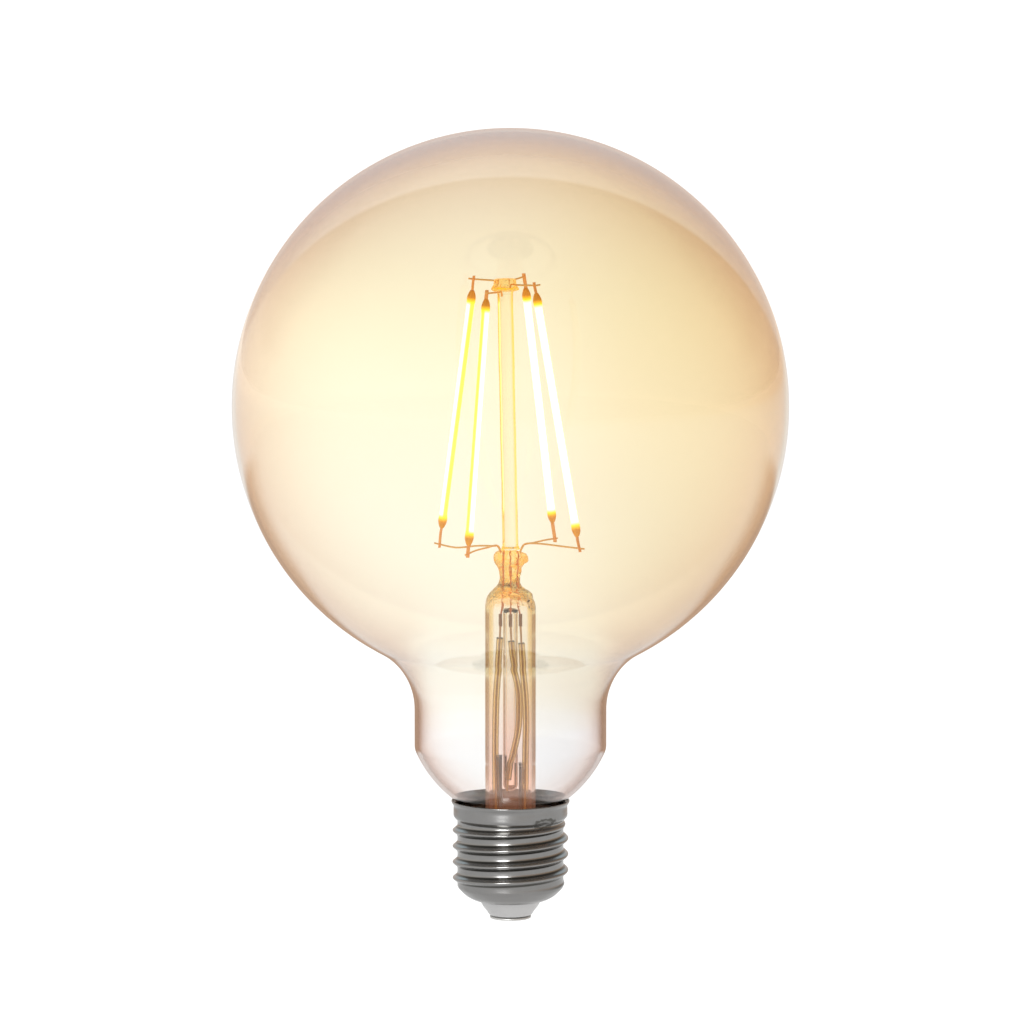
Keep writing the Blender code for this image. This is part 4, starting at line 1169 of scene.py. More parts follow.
INSULATOR = Finish("insulator", Slot.INSULATOR, (0.50, 0.50, 0.50), (0.44, 0.44, 0.44), 0.32, 0.15, patches=260.0)
CEMENT = Finish(
    "cement",
    Slot.CEMENT,
    (0.020, 0.018, 0.010),
    (0.055, 0.050, 0.030),
    0.7,
    0.1,
    patches=1500.0,
    relief=0.2 * MM,
)
BOARD = Laminate("board", Slot.BOARD, (0.66, 0.60, 0.60), (0.56, 0.50, 0.51), 0.35, 0.15, patches=900.0)
CHIP = Finish("moulded_black", Slot.CHIP, (0.025, 0.025, 0.027), (0.05, 0.05, 0.05), 0.45, 0.2, patches=2500.0)
FERRITE = Finish("ferrite", Slot.FERRITE, (0.07, 0.07, 0.07), (0.12, 0.115, 0.11), 0.6, 0.2, patches=2500.0)
SOLDER = Finish("solder", Slot.NICKEL_SHELL, (0.62, 0.62, 0.60), (0.50, 0.50, 0.48), 0.25, 0.2, 1.0, 1500.0)
SHIELD = DrawnMetal("shield_nickel", Slot.NICKEL_SHELL, (0.66, 0.65, 0.61), (0.56, 0.55, 0.52), 0.3, metallic=1.0)
CONTACT = DrawnMetal(
    "contact_nickel", Slot.NICKEL_SHELL, (0.60, 0.60, 0.59), (0.52, 0.52, 0.51), 0.45, metallic=0.8, patches=500.0
)


# ---- Handing pieces over ---------------------------------------------------------------------------


def hand_over(name: str, mesh: bpy.types.Mesh, finish: Finish, *nodes: str) -> bpy.types.Object:
    """Make a finished piece of a mesh.

    Args:
        name: the piece's name.
        mesh: its mesh, in place.
        finish: its finish.
        nodes: CAD nodes that it stands for.

    Returns:
        The piece.
    """
    mesh.materials.clear()
    mesh.materials.append(finish.material())
    piece = bpy.data.objects.new(name, mesh)
    bpy.context.scene.collection.objects.link(piece)
    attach(piece, BODY)
    if nodes:
        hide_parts(*nodes)
    triangles = sum(len(face.vertices) - 2 for face in mesh.polygons)
    LOG.info("%s: %d triangles, %s", name, triangles, finish.name)
    return piece


def dress(node: str, finish: Finish) -> None:
    """Give a CAD node that stays its finish.

    Args:
        node: name of the node.
        finish: its finish.
    """
    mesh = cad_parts[node].data
    mesh.materials.clear()
    mesh.materials.append(finish.material())
    LOG.info("%s: kept, %s", node, finish.name)


# ---- Studio ----------------------------------------------------------------------------------------


@dataclass
class Studio:
    """Pale table, white surround, soft lights and the camera."""

    camera_place: tuple[float, float, float] = (0.35 * MM, -1.193, 0.222)
    camera_pitch: float = math.radians(83.8)
    lens: float = 187.7
    table_size: float = 60.0
    table_light: float = 1.02
    table_reflected: float = 0.74
    table_far: float = 5.0
    brown: Colour = (0.42, 0.27, 0.17)
    brown_from: float = 0.15
    brown_to: float = 0.56
    white: float = 1.13
    left_light: Colour = (0.97, 0.92, 0.86)
    right_light: Colour = (0.70, 0.52, 0.38)
    overhead_light: Colour = (0.24, 0.24, 0.24)
    haze_height: float = 0.4
    strip_size: tuple[float, float] = (0.34, 0.9)
    strip_power: float = 14.0
    strip_azimuth: float = -107.0
    strip_distance: float = 1.1
    panel_direction: tuple[float, float, float] = (0.0, math.cos(math.radians(30.0)), math.sin(math.radians(30.0)))
    panel_half_angle: float = math.radians(36.0)
    panel_colour: Colour = (0.82, 0.97, 1.05)
    panel_foot: Colour = (0.80, 0.69, 0.62)

    def build(self) -> None:
        """Set up the camera, the table, the surround and the lights."""
        self.place_camera()
        self.lay_table()
        self.light_surround()
        scene = bpy.context.scene
        scene.view_settings.view_transform = "Standard"
        scene.cycles.use_denoising = True
        scene.cycles.max_bounces = 24
        scene.cycles.transmission_bounces = 24
        scene.cycles.glossy_bounces = 12
        scene.cycles.sample_clamp_indirect = 12.0

    def place_camera(self) -> None:
        """Stand a long lens in front of the lamp, looking a little down."""
        data = bpy.data.cameras.new("camera")
        data.lens = self.lens
        data.clip_end = 200.0
        camera = bpy.data.objects.new("camera", data)
        camera.location = self.camera_place
        camera.rotation_euler = (self.camera_pitch, 0.0, 0.0)
        bpy.context.scene.collection.objects.link(camera)
        bpy.context.scene.camera = camera

    def lay_table(self) -> None:
        """Lay a white table that glows evenly, and is dim where something shiny reflects it, with a painted brown
        reflection behind the lamp.
        """
        half = self.table_size / 2.0
        mesh = bpy.data.meshes.new("table")
        corners = [(-half, -half, 0.0), (half, -half, 0.0), (half, half, 0.0), (-half, half, 0.0)]
        mesh.from_pydata(corners, [], [(0, 1, 2, 3)])
        mesh.transform(Matrix.Translation((0.0, 0.0, -0.05 * MM)))
        paint = Paint.named("table_white")
        mirrored = self.mirrored(paint)
        x, y, _ = paint.object_axes()
        reach = paint.math("SQRT", paint.math("ADD", paint.math("POWER", x, 2.0), paint.math("POWER", y, 2.0)))
        across = paint.smooth_step(paint.math("DIVIDE", x, reach), -0.8, 0.8)
        far = paint.blend(across, self.left_light, self.right_light)
        near = (self.table_reflected,) * 3
        shown = paint.blend(paint.smooth_step(reach, 0.3, self.table_far), near, far)
        # painted reflection: a brown patch behind the lamp that only shiny things show, which darkens the glass's
        # outlines
        behind = paint.smooth_step(paint.math("DIVIDE", y, reach), 0.5, 0.8)
        behind = paint.math("MULTIPLY", behind, paint.smooth_step(reach, self.brown_from * 0.85, self.brown_from * 1.3))
        near_enough = paint.math("SUBTRACT", 1.0, paint.smooth_step(reach, self.brown_to * 0.85, self.brown_to * 1.15))
        shown = paint.blend(paint.math("MULTIPLY", behind, near_enough), shown, self.brown)
        paint.set(Base_Color=(0.3, 0.3, 0.3), Roughness=0.8, Specular_IOR_Level=0.0)
        paint.set(Emission_Color=paint.blend(mirrored, (self.table_light,) * 3, shown), Emission_Strength=1.0)
        mesh.materials.append(paint.material)
        table = bpy.data.objects.new("table", mesh)
        bpy.context.scene.collection.objects.link(table)

    def mirrored(self, writer: NodeTree) -> bpy.types.NodeSocket:
        """Mask that is 1 where something shiny reflects what the tree paints."""
        path = writer.add("ShaderNodeLightPath")
        return writer.math("MINIMUM", path.outputs["Glossy Depth"], 1.0)

    def light_cap(self, pieces: list[bpy.types.Object]) -> None:
        """Stand a narrow upright light in front of the lamp, which only the cap's metal takes.

        Args:
            pieces: the pieces that it lights.
        """
        light = bpy.data.lights.new("strip", "AREA")
        light.shape = "RECTANGLE"
        light.size, light.size_y = self.strip_size
        light.energy = self.strip_power
        strip = bpy.data.objects.new("strip", light)
        angle = math.radians(self.strip_azimuth)
        strip.location = Vector((math.cos(angle), math.sin(angle), 0.08)) * self.strip_distance
        strip.rotation_euler = (math.radians(85.0), 0.0, angle + math.pi / 2.0)
        strip.visible_camera = False
        strip.visible_transmission = False
        bpy.context.scene.collection.objects.link(strip)
        lit = bpy.data.collections.new("lit_by_strip")
        for piece in pieces:
            lit.objects.link(piece)
        strip.light_linking.receiver_collection = lit

    def light_surround(self) -> None:
        """Light the lamp from all round, dimly but for a round panel behind and above it."""
        world = bpy.data.worlds.new("surround")
        world.use_nodes = True
        world.cycles.sampling_method = "NONE"
        bpy.context.scene.world = world
        sky = NodeTree(world.node_tree)
        background = world.node_tree.nodes["Background"]
        place = sky.add("ShaderNodeTexCoord").outputs["Generated"]
        dot = sky.add("ShaderNodeVectorMath", operation="DOT_PRODUCT")
        sky.link(place, dot.inputs[0])
        dot.inputs[1].default_value = self.panel_direction
        soft = math.radians(1.2)
        panel = sky.add("ShaderNodeMapRange", interpolation_type="SMOOTHSTEP")
        panel.inputs["From Min"].default_value = math.cos(self.panel_half_angle + soft)
        panel.inputs["From Max"].default_value = math.cos(self.panel_half_angle - soft)
        sky.link(dot.outputs["Value"], panel.inputs["Value"])
        lit = sky.add("ShaderNodeMix", data_type="RGBA")
        sky.link(panel.outputs["Result"], lit.inputs["Factor"])
        split = sky.add("ShaderNodeSeparateXYZ")
        sky.link(place, split.inputs[0])
        around = sky.blend(sky.smooth_step(split.outputs["X"], -0.8, 0.8), self.left_light, self.right_light)
        above = sky.smooth_step(split.outputs["Z"], 0.12, 0.8)
        sky.link(sky.blend(above, around, self.overhead_light), lit.inputs[6])
        climb = sky.smooth_step(split.outputs["Z"], 0.0, 0.55)
        sky.link(sky.blend(climb, self.panel_foot, self.panel_colour), lit.inputs[7])
        haze = sky.add("ShaderNodeMapRange", interpolation_type="SMOOTHSTEP")
        haze.inputs["From Max"].default_value = self.haze_height
        haze.inputs["To Min"].default_value = 1.0
        haze.inputs["To Max"].default_value = 0.0
        sky.link(split.outputs["Z"], haze.inputs["Value"])
        clear = sky.math("SUBTRACT", 1.0, self.mirrored(sky))
        seen = sky.add("ShaderNodeLightPath").outputs["Is Camera Ray"]
        pale = sky.math("MAXIMUM", seen, sky.math("MULTIPLY", haze.outputs["Result"], clear))
        mixed = sky.add("ShaderNodeMix", data_type="RGBA")
        sky.link(pale, mixed.inputs["Factor"])
        sky.link(lit.outputs[2], mixed.inputs[6])
        mixed.inputs[7].default_value = (self.white, self.white, self.white, 1.0)
        sky.link(mixed.outputs[2], background.inputs["Color"])


# ---- Glass -----------------------------------------------------------------------------------------


@dataclass
class Envelope:
    """Blown globe and neck, open at the seal inside the cap."""

    wall: float = 0.8 * MM
    radius: float = 62.5 * MM
    neck_radius: float = 21.65 * MM
    neck_straight: float = 8.2 * MM
    fillet: float = 15.0 * MM
    shoulder_radius: float = 4.0 * MM
    shoulder_turn: float = math.radians(24.0)
    cone_turn: float = math.radians(32.0)
    seal_fillet: float = 2.0 * MM
    seal_radius: float = 10.7 * MM
    seal_length: float = 4.5 * MM
    segments: int = 160

    def side(self, inset: float) -> Outline:
        """One side of the wall, from the pole of the globe to the seal.

        Args:
            inset: distance in from the outer side.

        Returns:
            Its outline points.
        """
        low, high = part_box("globe_envelope")
        middle = high.z - self.radius
        reach = self.radius + self.fillet
        neck_top = middle - math.sqrt(reach**2 - (self.neck_radius + self.fillet) ** 2)
        meeting = math.asin((middle - neck_top) / reach)
        points = arc((0.0, middle), self.radius - inset, math.pi / 2.0, -meeting, 90)
        points[0] = (0.0, middle + self.radius - inset)
        bend = (self.neck_radius + self.fillet, neck_top)
        points += arc(bend, self.fillet + inset, math.pi - meeting, math.pi, 20)[1:]
        shoulder = (self.neck_radius - self.shoulder_radius, neck_top - self.neck_straight)
        points += arc(shoulder, self.shoulder_radius - inset, 0.0, -self.shoulder_turn, 8)
        foot_turn = self.shoulder_turn + self.cone_turn
        seal_top = low.z + self.seal_length
        cone_radius = (
            self.neck_radius
            - self.shoulder_radius * (1.0 - math.cos(self.shoulder_turn))
            - self.seal_fillet * (1.0 - math.cos(foot_turn))
            - self.seal_radius
        ) / (math.cos(self.shoulder_turn) - math.cos(foot_turn))
        reach = self.shoulder_radius - cone_radius
        cone = (
            shoulder[0] + reach * math.cos(self.shoulder_turn),
            shoulder[1] - reach * math.sin(self.shoulder_turn),
        )
        points += arc(cone, cone_radius - inset, -self.shoulder_turn, -foot_turn, 24)[1:]
        seal = (self.seal_radius + self.seal_fillet, seal_top)
        points += arc(seal, self.seal_fillet + inset, math.pi - foot_turn, math.pi, 8)[1:]
        points.append((self.seal_radius - inset, low.z))
        return points

    def build(self) -> None:
        """Build the wall with both of its sides."""
        outline = self.side(0.0) + self.side(self.wall)[::-1]
        hand_over("globe_glass", lathe("globe_glass", outline, self.segments), AMBER, "globe_envelope")


@dataclass
class Stem:
    """Flared tube with its pinched press, and the exhaust tube inside it."""

    radius: float = 5.7 * MM
    wall: float = 0.86 * MM
    shoulder_below_top: float = 11.5 * MM
    head_radius: float = 3.8 * MM
    waist_radius: float = 2.35 * MM
    flatness: float = 0.72
    exhaust_wall: float = 0.62 * MM
    segments: int = 96

    def build(self) -> None:
        """Build the stem tube and the exhaust tube."""
        low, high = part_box("stem_tube")
        top = high.z
        shoulder = top - self.shoulder_below_top
        upper = [
            (0.0, -0.1), (1.6, -0.15), (2.8, -0.35), (3.6, -1.0), (3.8, -1.9), (3.6, -2.9), (3.0, -3.9),
            (2.55, -4.9), (2.38, -6.0), (2.45, -7.0), (2.9, -8.0), (3.8, -9.0), (4.8, -10.1), (5.4, -11.2),
            (5.66, -12.6), (5.7, -14.0),
        ]
        outer = eased([(r * MM, top + z * MM) for r, z in upper], 0.25 * MM)
        flare_radius = high.x - self.radius
        flare = (self.radius + flare_radius, low.z + self.wall + flare_radius)
        straight = 60
        run = outer[-1][1] - flare[1]
        outer += [(self.radius, outer[-1][1] - run * i / straight) for i in range(1, straight)]
        outer += arc(flare, flare_radius, math.pi, 1.5 * math.pi, 14)
        inner = arc(flare, flare_radius + self.wall, 1.5 * math.pi, math.pi, 14)
        bore = self.radius - self.wall
        inner += [(bore, inner[-1][1] + run * i / straight) for i in range(1, straight)]
        dome = [(4.84, -14.0), (4.78, -12.9), (4.45, -11.6), (3.8, -10.6), (2.8, -9.8), (1.5, -9.4), (0.0, -9.3)]
        inner += eased([(r * MM, top + z * MM) for r, z in dome], 0.25 * MM)
        tube = lathe("stem_glass", outer + inner, self.segments)
        self.pinch(tube, top, shoulder)
        hand_over("stem_glass_tube", tube, STEM_GLASS, "stem_tube")
        self.build_exhaust()

    def pinch(self, tube: bpy.types.Mesh, top: float, shoulder: float) -> None:
        """Flatten the press from front to back and leave the marks of the jaws in it.

        Args:
            tube: the stem's mesh.
            top: height of the press's top.
            shoulder: height where the tube is round again.
        """
        for vertex in tube.vertices:
            height = vertex.co.z
            share = max(0.0, min(1.0, (height - shoulder) / (0.55 * (top - shoulder))))
            share = share * share * (3.0 - 2.0 * share)
            vertex.co.y *= 1.0 - share * (1.0 - self.flatness)
            crumple = max(0.0, min(1.0, (height - shoulder + 2.5 * MM) / (4.0 * MM)))
            side = 0.55 + 0.45 * max(-1.0, min(1.0, vertex.co.x / (3.0 * MM)))
            pull = noise.turbulence_vector(vertex.co * 500.0, 3, False) - Vector((0.5, 0.5, 0.5))
            vertex.co += pull * crumple * side * 0.6 * MM
        tube.update()

    def build_exhaust(self) -> None:
        """Build the tube that the lamp was pumped out through, with its melted tip."""
        low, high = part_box("exhaust_tube")
        radius = high.x
        bore = radius - self.exhaust_wall
        tip = low.z + radius
        outline = [(radius, high.z)]
        outline += [(radius, high.z + (tip - high.z) * i / 30) for i in range(1, 30)]
        outline += arc((0.0, tip), radius, 0.0, -math.pi / 2.0, 12)[:-1] + [(0.0, low.z)]
        outline += [(0.0, tip - bore)] + arc((0.0, tip), bore, -math.pi / 2.0, 0.0, 12)[1:]
        outline += [(bore, tip + (high.z - tip) * i / 30) for i in range(1, 31)]
        mesh = lathe("exhaust_glass", outline, 40, closed=True)
        hand_over("exhaust_glass_tube", mesh, STEM_GLASS, "exhaust_tube")


@dataclass
class Rod:
    """Solid rod on the press, and the crown on its top that holds the upper wires."""

    radius: float = 1.78 * MM
    sink: float = 0.35 * MM
    lobes: int = 7
    crown_height: float = 2.9 * MM

    def axis(self) -> tuple[Vector, Vector]:
        """Centres of the rod's foot and top."""
        foot, top = centreline("centre_rod", Vector((0.0, 0.0, 1.0)), 5.0 * MM)
        return foot, top

    def build(self) -> None:
        """Build the rod and its crown."""
        foot, top = self.axis()
        along = (top - foot).normalized()
        length = (top - foot).length
        stand = frame_along(foot, along, Vector((1.0, 0.0, 0.0)))
        steps = 120
        rod = [(0.0, -self.sink), (self.radius * 1.2, -self.sink), (self.radius * 1.1, 0.2 * MM)]
        for i in range(1, steps):
            height = length * i / steps
            ripple = 1.0 + 0.012 * math.sin(height / (3.1 * MM)) + 0.008 * math.sin(height / (1.3 * MM) + 1.0)
            rod.append((self.radius * ripple, height))
        rod += [(self.radius * 1.05, length), (self.radius, length + self.sink), (0.0, length + self.sink)]
        mesh = moved(lathe("rod_glass", rod, 48), stand)
        hand_over("centre_rod_glass", mesh, ROD_GLASS, "centre_rod")
        crown = moved(self.crown(), frame_along(top, along, Vector((1.0, 0.0, 0.0))))
        hand_over("rod_crown", crown, PRESSED_GLASS, "rod_button")

    def crown(self) -> bpy.types.Mesh:
        """Bead that is pressed down over the wires' ends, so that it bulges between them."""
        shape = [(0.0, 2.75), (1.4, 2.85), (2.1, 2.75), (2.4, 2.3), (2.5, 1.6), (2.75, 0.9), (2.95, 0.45), (2.7, 0.1)]
        shape += [(2.1, 0.12), (1.82, 0.3), (0.0, 0.3)]
        outline = eased([(r * MM, z * MM) for r, z in shape], 0.15 * MM)
        outline[0], outline[-1] = (0.0, outline[0][1]), (0.0, outline[-1][1])
        mesh = lathe("crown", outline, 112)
        for vertex in mesh.vertices:
            flat = math.hypot(vertex.co.x, vertex.co.y)
            share = max(0.0, min(1.0, (flat - 1.2 * MM) / (1.6 * MM)))
            angle = math.atan2(vertex.co.y, vertex.co.x)
            swell = 1.0 + 0.09 * share * math.sin(self.lobes * angle + 0.7)
            vertex.co.x *= swell
            vertex.co.y *= swell
            vertex.co += (noise.noise_vector(vertex.co * 900.0)) * share * 0.16 * MM
        mesh.update()
        return mesh


# ---- Filaments and their wires ---------------------------------------------------------------------


@dataclass
class Filament:
    """One glowing strip: coat, strip with its row of chips, and two welded tabs."""

    number: int
    stripe_azimuth: float
    radius: float = 0.84 * MM
    bead_radius: float = 1.0 * MM
    tab_width: float = 0.85 * MM
    tab_thickness: float = 0.25 * MM
    tab_sink: float = 0.9 * MM

    @property
    def name(self) -> str:
        """Common start of its nodes' names."""
        return f"filament_{self.number}"

    def ends(self, part: str) -> tuple[Vector, Vector]:
        """Lower and upper end of one of its straight nodes.

        Args:
            part: last word of the node's name.

        Returns:
            The middle of each end.
        """
        points = sorted(cad_points(f"{self.name}_{part}"), key=lambda point: point.z)
        half = len(points) // 2
        return sum(points[:half], Vector()) / half, sum(points[half:], Vector()) / (len(points) - half)

    @property
    def away(self) -> Vector:
        """Level unit vector from the lamp's axis to the filament."""
        foot = self.ends("substrate")[0]
        return Vector((foot.x, foot.y, 0.0)).normalized()

    def build(self) -> None:
        """Build the coat and the tabs, and give the strip its finish."""
        foot, top = self.ends("substrate")
        along = (top - foot).normalized()
        angle = math.radians(self.stripe_azimuth)
        face = Vector((math.cos(angle), math.sin(angle), 0.0))
        stand = frame_along(foot, along, face)
        coat = lathe(self.name, self.coat_outline((top - foot).length), 32)
        self.wrap(coat, (top - foot).length)
        hand_over(f"{self.name}_coat", moved(coat, stand), PHOSPHOR, f"{self.name}_phosphor")
        dress(f"{self.name}_substrate", CERAMIC)
        for part, inner in (("top_tab", 0), ("bottom_tab", 1)):
            ends = list(self.ends(part))
            step = along * self.tab_sink
            ends[inner] = ends[inner] - step if inner == 0 else ends[inner] + step
            self.build_tab(part, ends[0], ends[1], along)

    def coat_outline(self, length: float) -> Outline:
        """Outline of the coat, with a bead at each end where it runs over the tab."""
        start = [(0.0, 0.0), (0.38, 0.0), (0.55, 0.25), (0.82, 0.9), (0.99, 1.7), (0.97, 2.5), (0.87, 3.3), (0.84, 4.4)]
        scale = self.radius / (0.84 * MM)
        half = [(r * MM * scale, z * MM) for r, z in start]
        lower = eased(half, 0.2 * MM)
        steps = 50
        run = length - 2.0 * lower[-1][1]
        middle = [
            (self.radius * (1.0 + 0.02 * math.sin(i * 1.7)), lower[-1][1] + run * i / steps)
            for i in range(1, steps)
        ]
        upper = [(r, length - z) for r, z in reversed(lower)]
        return lower + middle + upper

    def wrap(self, mesh: bpy.types.Mesh, length: float) -> None:
        """Give the coat a map that runs round it and along it.

        Args:
            mesh: the coat, before it is put in place.
            length: its length.
        """
        layer = mesh.uv_layers.new(name="wrap")
        for face in mesh.polygons:
            middle = math.atan2(face.center.y, face.center.x)
            for loop in face.loop_indices:
                point = mesh.vertices[mesh.loops[loop].vertex_index].co
                angle = math.atan2(point.y, point.x) if point.xy.length > 1e-6 else middle
                turn = angle / FULL_TURN + 0.5
                turn += round(middle / FULL_TURN + 0.5 - turn)
                layer.data[loop].uv = (turn, point.z / length)

    def build_tab(self, part: str, foot: Vector, top: Vector, along: Vector) -> None:
        """Build one metal tab with its corners broken and a slight bend along it.

        Args:
            part: last word of its node's name.
            foot: middle of its lower end.
            top: middle of its upper end.
            along: direction of the filament.
        """
        length = (top - foot).length
        sheet = bmesh.new()
        bmesh.ops.create_cube(sheet, size=1.0)
        bmesh.ops.scale(sheet, vec=(self.tab_thickness, self.tab_width, length), verts=sheet.verts)
        bmesh.ops.bevel(
            sheet, geom=sheet.edges[:], offset=0.06 * MM, segments=2, profile=0.6, affect="EDGES"
        )
        bmesh.ops.subdivide_edges(
            sheet, edges=[e for e in sheet.edges if e.calc_length() > 0.5 * length], cuts=12
        )
        mesh = finished_mesh(self.name + part, sheet)
        for vertex in mesh.vertices:
            bend = 0.09 * MM * math.sin(vertex.co.z / (1.1 * MM) + self.number)
            vertex.co.x += bend
        mesh.transform(frame_along((foot + top) / 2.0, along, self.away))
        hand_over(f"{self.name}_{part}_plate", mesh, TAB_METAL, f"{self.name}_{part}")


@dataclass
class Leads:
    """Wires that carry the filaments: short ones from the crown and long ones from the press."""

    filaments: list[Filament]
    wire_radius: float = 0.2 * MM
    weld_inset: float = 0.8 * MM
    sag: tuple[float, float, float, float] = (-0.5, 0.3, 0.2, 0.1)
    lower_free_end: float = 1.1 * MM

    def build(self) -> None:
        """Build all eight wires with their welds."""
        tree = wire_tree()
        for filament in self.filaments:
            self.build_upper(filament, tree)
            self.build_lower(filament, tree)

    def weld_point(self, filament: Filament, part: str) -> Vector:
        """Where a wire lies on a tab's face.

        Args:
            filament: the filament.
            part: name of the tab.

        Returns:
            Centre of the wire at the weld.
        """
        foot, top = filament.ends(part)
        along = (top - foot).normalized()
        point = top - along * self.weld_inset if part == "top_tab" else foot + along * self.weld_inset
        side = along.cross(filament.away).normalized()
        face = side.cross(along)
        return point + face * (filament.tab_thickness / 2.0 + self.wire_radius * 0.8)

    def build_upper(self, filament: Filament, tree: bpy.types.NodeTree) -> None:
        """Build the wire from inside the crown across the top tab."""
        node = f"upper_support_wire_{filament.number}"
        ring = centreline(node, filament.away, 0.45 * MM)
        weld = self.weld_point(filament, "top_tab")
        side = Vector((-filament.away.y, filament.away.x, 0.0))
        root = ring[0] - filament.away * 1.6 * MM
        hook = root - filament.away * 0.3 * MM - Vector((0.0, 0.0, 1.0 * MM))
        end = weld + side * 0.9 * MM + filament.away * 0.5 * MM + Vector((0.0, 0.0, 0.15 * MM))
        near = ring[0].lerp(weld, 0.75)
        path = smooth_path([hook, root, ring[0], near, weld, end], 0.15 * MM)
        self.lay(node, path, tree)

    def build_lower(self, filament: Filament, tree: bpy.types.NodeTree) -> None:
        """Build the wire from down in the press out to the bottom tab."""
        node = f"lower_lead_wire_{filament.number}"
        ring = centreline(node, filament.away, 0.45 * MM)
        weld = self.weld_point(filament, "bottom_tab")
        anchor = ring[0]
        sunk = Vector((anchor.x * 0.75, anchor.y * 0.7, anchor.z - 1.6 * MM))
        rise = anchor + filament.away * 1.2 * MM
        rise.z = anchor.z + 0.65 * (weld.z - anchor.z) + 0.35 * MM
        out = rise.lerp(weld, 0.3)
        out.z = weld.z + 0.25 * MM
        far = rise.lerp(weld, 0.68)
        far.z = weld.z + self.sag[filament.number - 1] * MM
        end = weld + (weld - far).normalized() * self.lower_free_end
        path = smooth_path([sunk, anchor, rise, out, far, weld, end], 0.2 * MM)
        self.lay(node, path, tree)

    def lay(self, node: str, path: list[Vector], tree: bpy.types.NodeTree) -> None:
        """Make a wire along a path and hand it over.

        Args:
            node: CAD node that it stands for.
            path: its centre line.
            tree: the tree that sweeps it.
        """
        values = {"Radius": self.wire_radius, "Material": WIRE_METAL.material()}
        mesh = grown(node, path_mesh(node, path), tree, values)
        hand_over(f"{node}_drawn", mesh, WIRE_METAL, node)


@dataclass
class StemWires:
    """Leads in the press, the joints below it and the sleeved wires down to the boards."""

    lead_radius: float = 0.2 * MM
    strands: int = 7
    strand_radius: float = 0.085 * MM
    bundle_radius: float = 0.14 * MM
    lay_length: float = 2.2 * MM
    sleeve_radius: float = 0.72 * MM
    sleeve_wall: float = 0.2 * MM

    def build(self) -> None:
        """Build the leads, joints, wires and sleeves."""
        down = Vector((0.0, 0.0, -1.0))
        round_tree, twisted = wire_tree(), strand_tree()
        for number in (1, 2, 3):
            node = f"dumet_lead_{number}"
            route = centreline(node, down, 0.5 * MM)
            joint = centre_of(f"lead_joint_{number}")
            route[-1] = Vector((joint.x, joint.y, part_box(f"lead_joint_{number}")[1].z - 0.4 * MM))
            path = smooth_path(route, 0.3 * MM)
            values = {"Radius": self.lead_radius, "Material": LEAD_COPPER.material()}
            mesh = grown(node, path_mesh(node, path), round_tree, values)
            hand_over(f"{node}_drawn", mesh, LEAD_COPPER, node)
            self.build_joint(number, twisted)
            self.build_output(number, twisted)

    def build_joint(self, number: int, tree: bpy.types.NodeTree) -> None:
        """Build the twisted ends of a lead and its wire."""
        node = f"lead_joint_{number}"
        low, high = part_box(node)
        middle = (low + high) / 2.0
        lift = Vector((0.0, 0.0, (high.z - low.z) / 2.0 + 0.35 * MM))
        path = [middle + lift * (1.0 - i / 10.0) for i in range(21)]
        values = {
            "Strands": 3,
            "Strand Radius": 0.17 * MM,
            "Bundle Radius": 0.24 * MM,
            "Lay Length": 1.3 * MM,
            "Material": JOINT.material(),
        }
        mesh = grown(node, path_mesh(node, path), tree, values)
        hand_over(f"{node}_twist", mesh, JOINT, node)

    def build_output(self, number: int, tree: bpy.types.NodeTree) -> None:
        """Build a stranded wire and the sleeve over it."""
        node = f"output_wire_{number}"
        route = centreline(node, Vector((0.0, 0.0, -1.0)), 0.8 * MM)
        route[0] = route[0] + Vector((0.0, 0.0, 0.5 * MM))
        path = smooth_path(route, 0.4 * MM)
        values = {
            "Strands": self.strands,
            "Strand Radius": self.strand_radius,
            "Bundle Radius": self.bundle_radius,
            "Lay Length": self.lay_length,
            "Material": STRAND.material(),
        }
        mesh = grown(node, path_mesh(node, path), tree, values)
        hand_over(f"{node}_strands", mesh, STRAND, node)
        low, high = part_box(f"wire_sleeve_{number}")
        covered = [point for point in path if low.z <= point.z <= high.z]
        tube = self.tube(f"wire_sleeve_{number}", covered)
        hand_over(f"wire_sleeve_{number}_tube", tube, SLEEVE, f"wire_sleeve_{number}")

    def tube(self, name: str, path: list[Vector]) -> bpy.types.Mesh:
        """A soft tube with a wall along a path.

        Args:
            name: name of the mesh.
            path: its centre line.

        Returns:
            The closed tube.
        """
        sides = 20
        sheet = bmesh.new()
        side = Vector((1.0, 0.0, 0.0))
        hoops: list[list[list[bmesh.types.BMVert]]] = [[], []]
        for i, point in enumerate(path):
            ahead = (path[min(i + 1, len(path) - 1)] - path[max(i - 1, 0)]).normalized()
            side = (side - ahead * side.dot(ahead)).normalized()
            other = ahead.cross(side)
            for wall, radius in enumerate((self.sleeve_radius, self.sleeve_radius - self.sleeve_wall)):
                angles = (FULL_TURN * k / sides for k in range(sides))
                hoops[wall].append(
                    [
                        sheet.verts.new(point + (side * math.cos(a) + other * math.sin(a)) * radius)
                        for a in angles
                    ]
                )
        outer, inner = hoops
        strips = list(zip(outer, outer[1:])) + list(zip(inner, inner[1:]))
        strips += [(outer[0], inner[0]), (outer[-1], inner[-1])]
        for first, second in strips:
            for k in range(sides):
                m = (k + 1) % sides
                sheet.faces.new((first[k], first[m], second[m], second[k]))
        return finished_mesh(name, sheet)


# ---- Cap -------------------------------------------------------------------------------------------


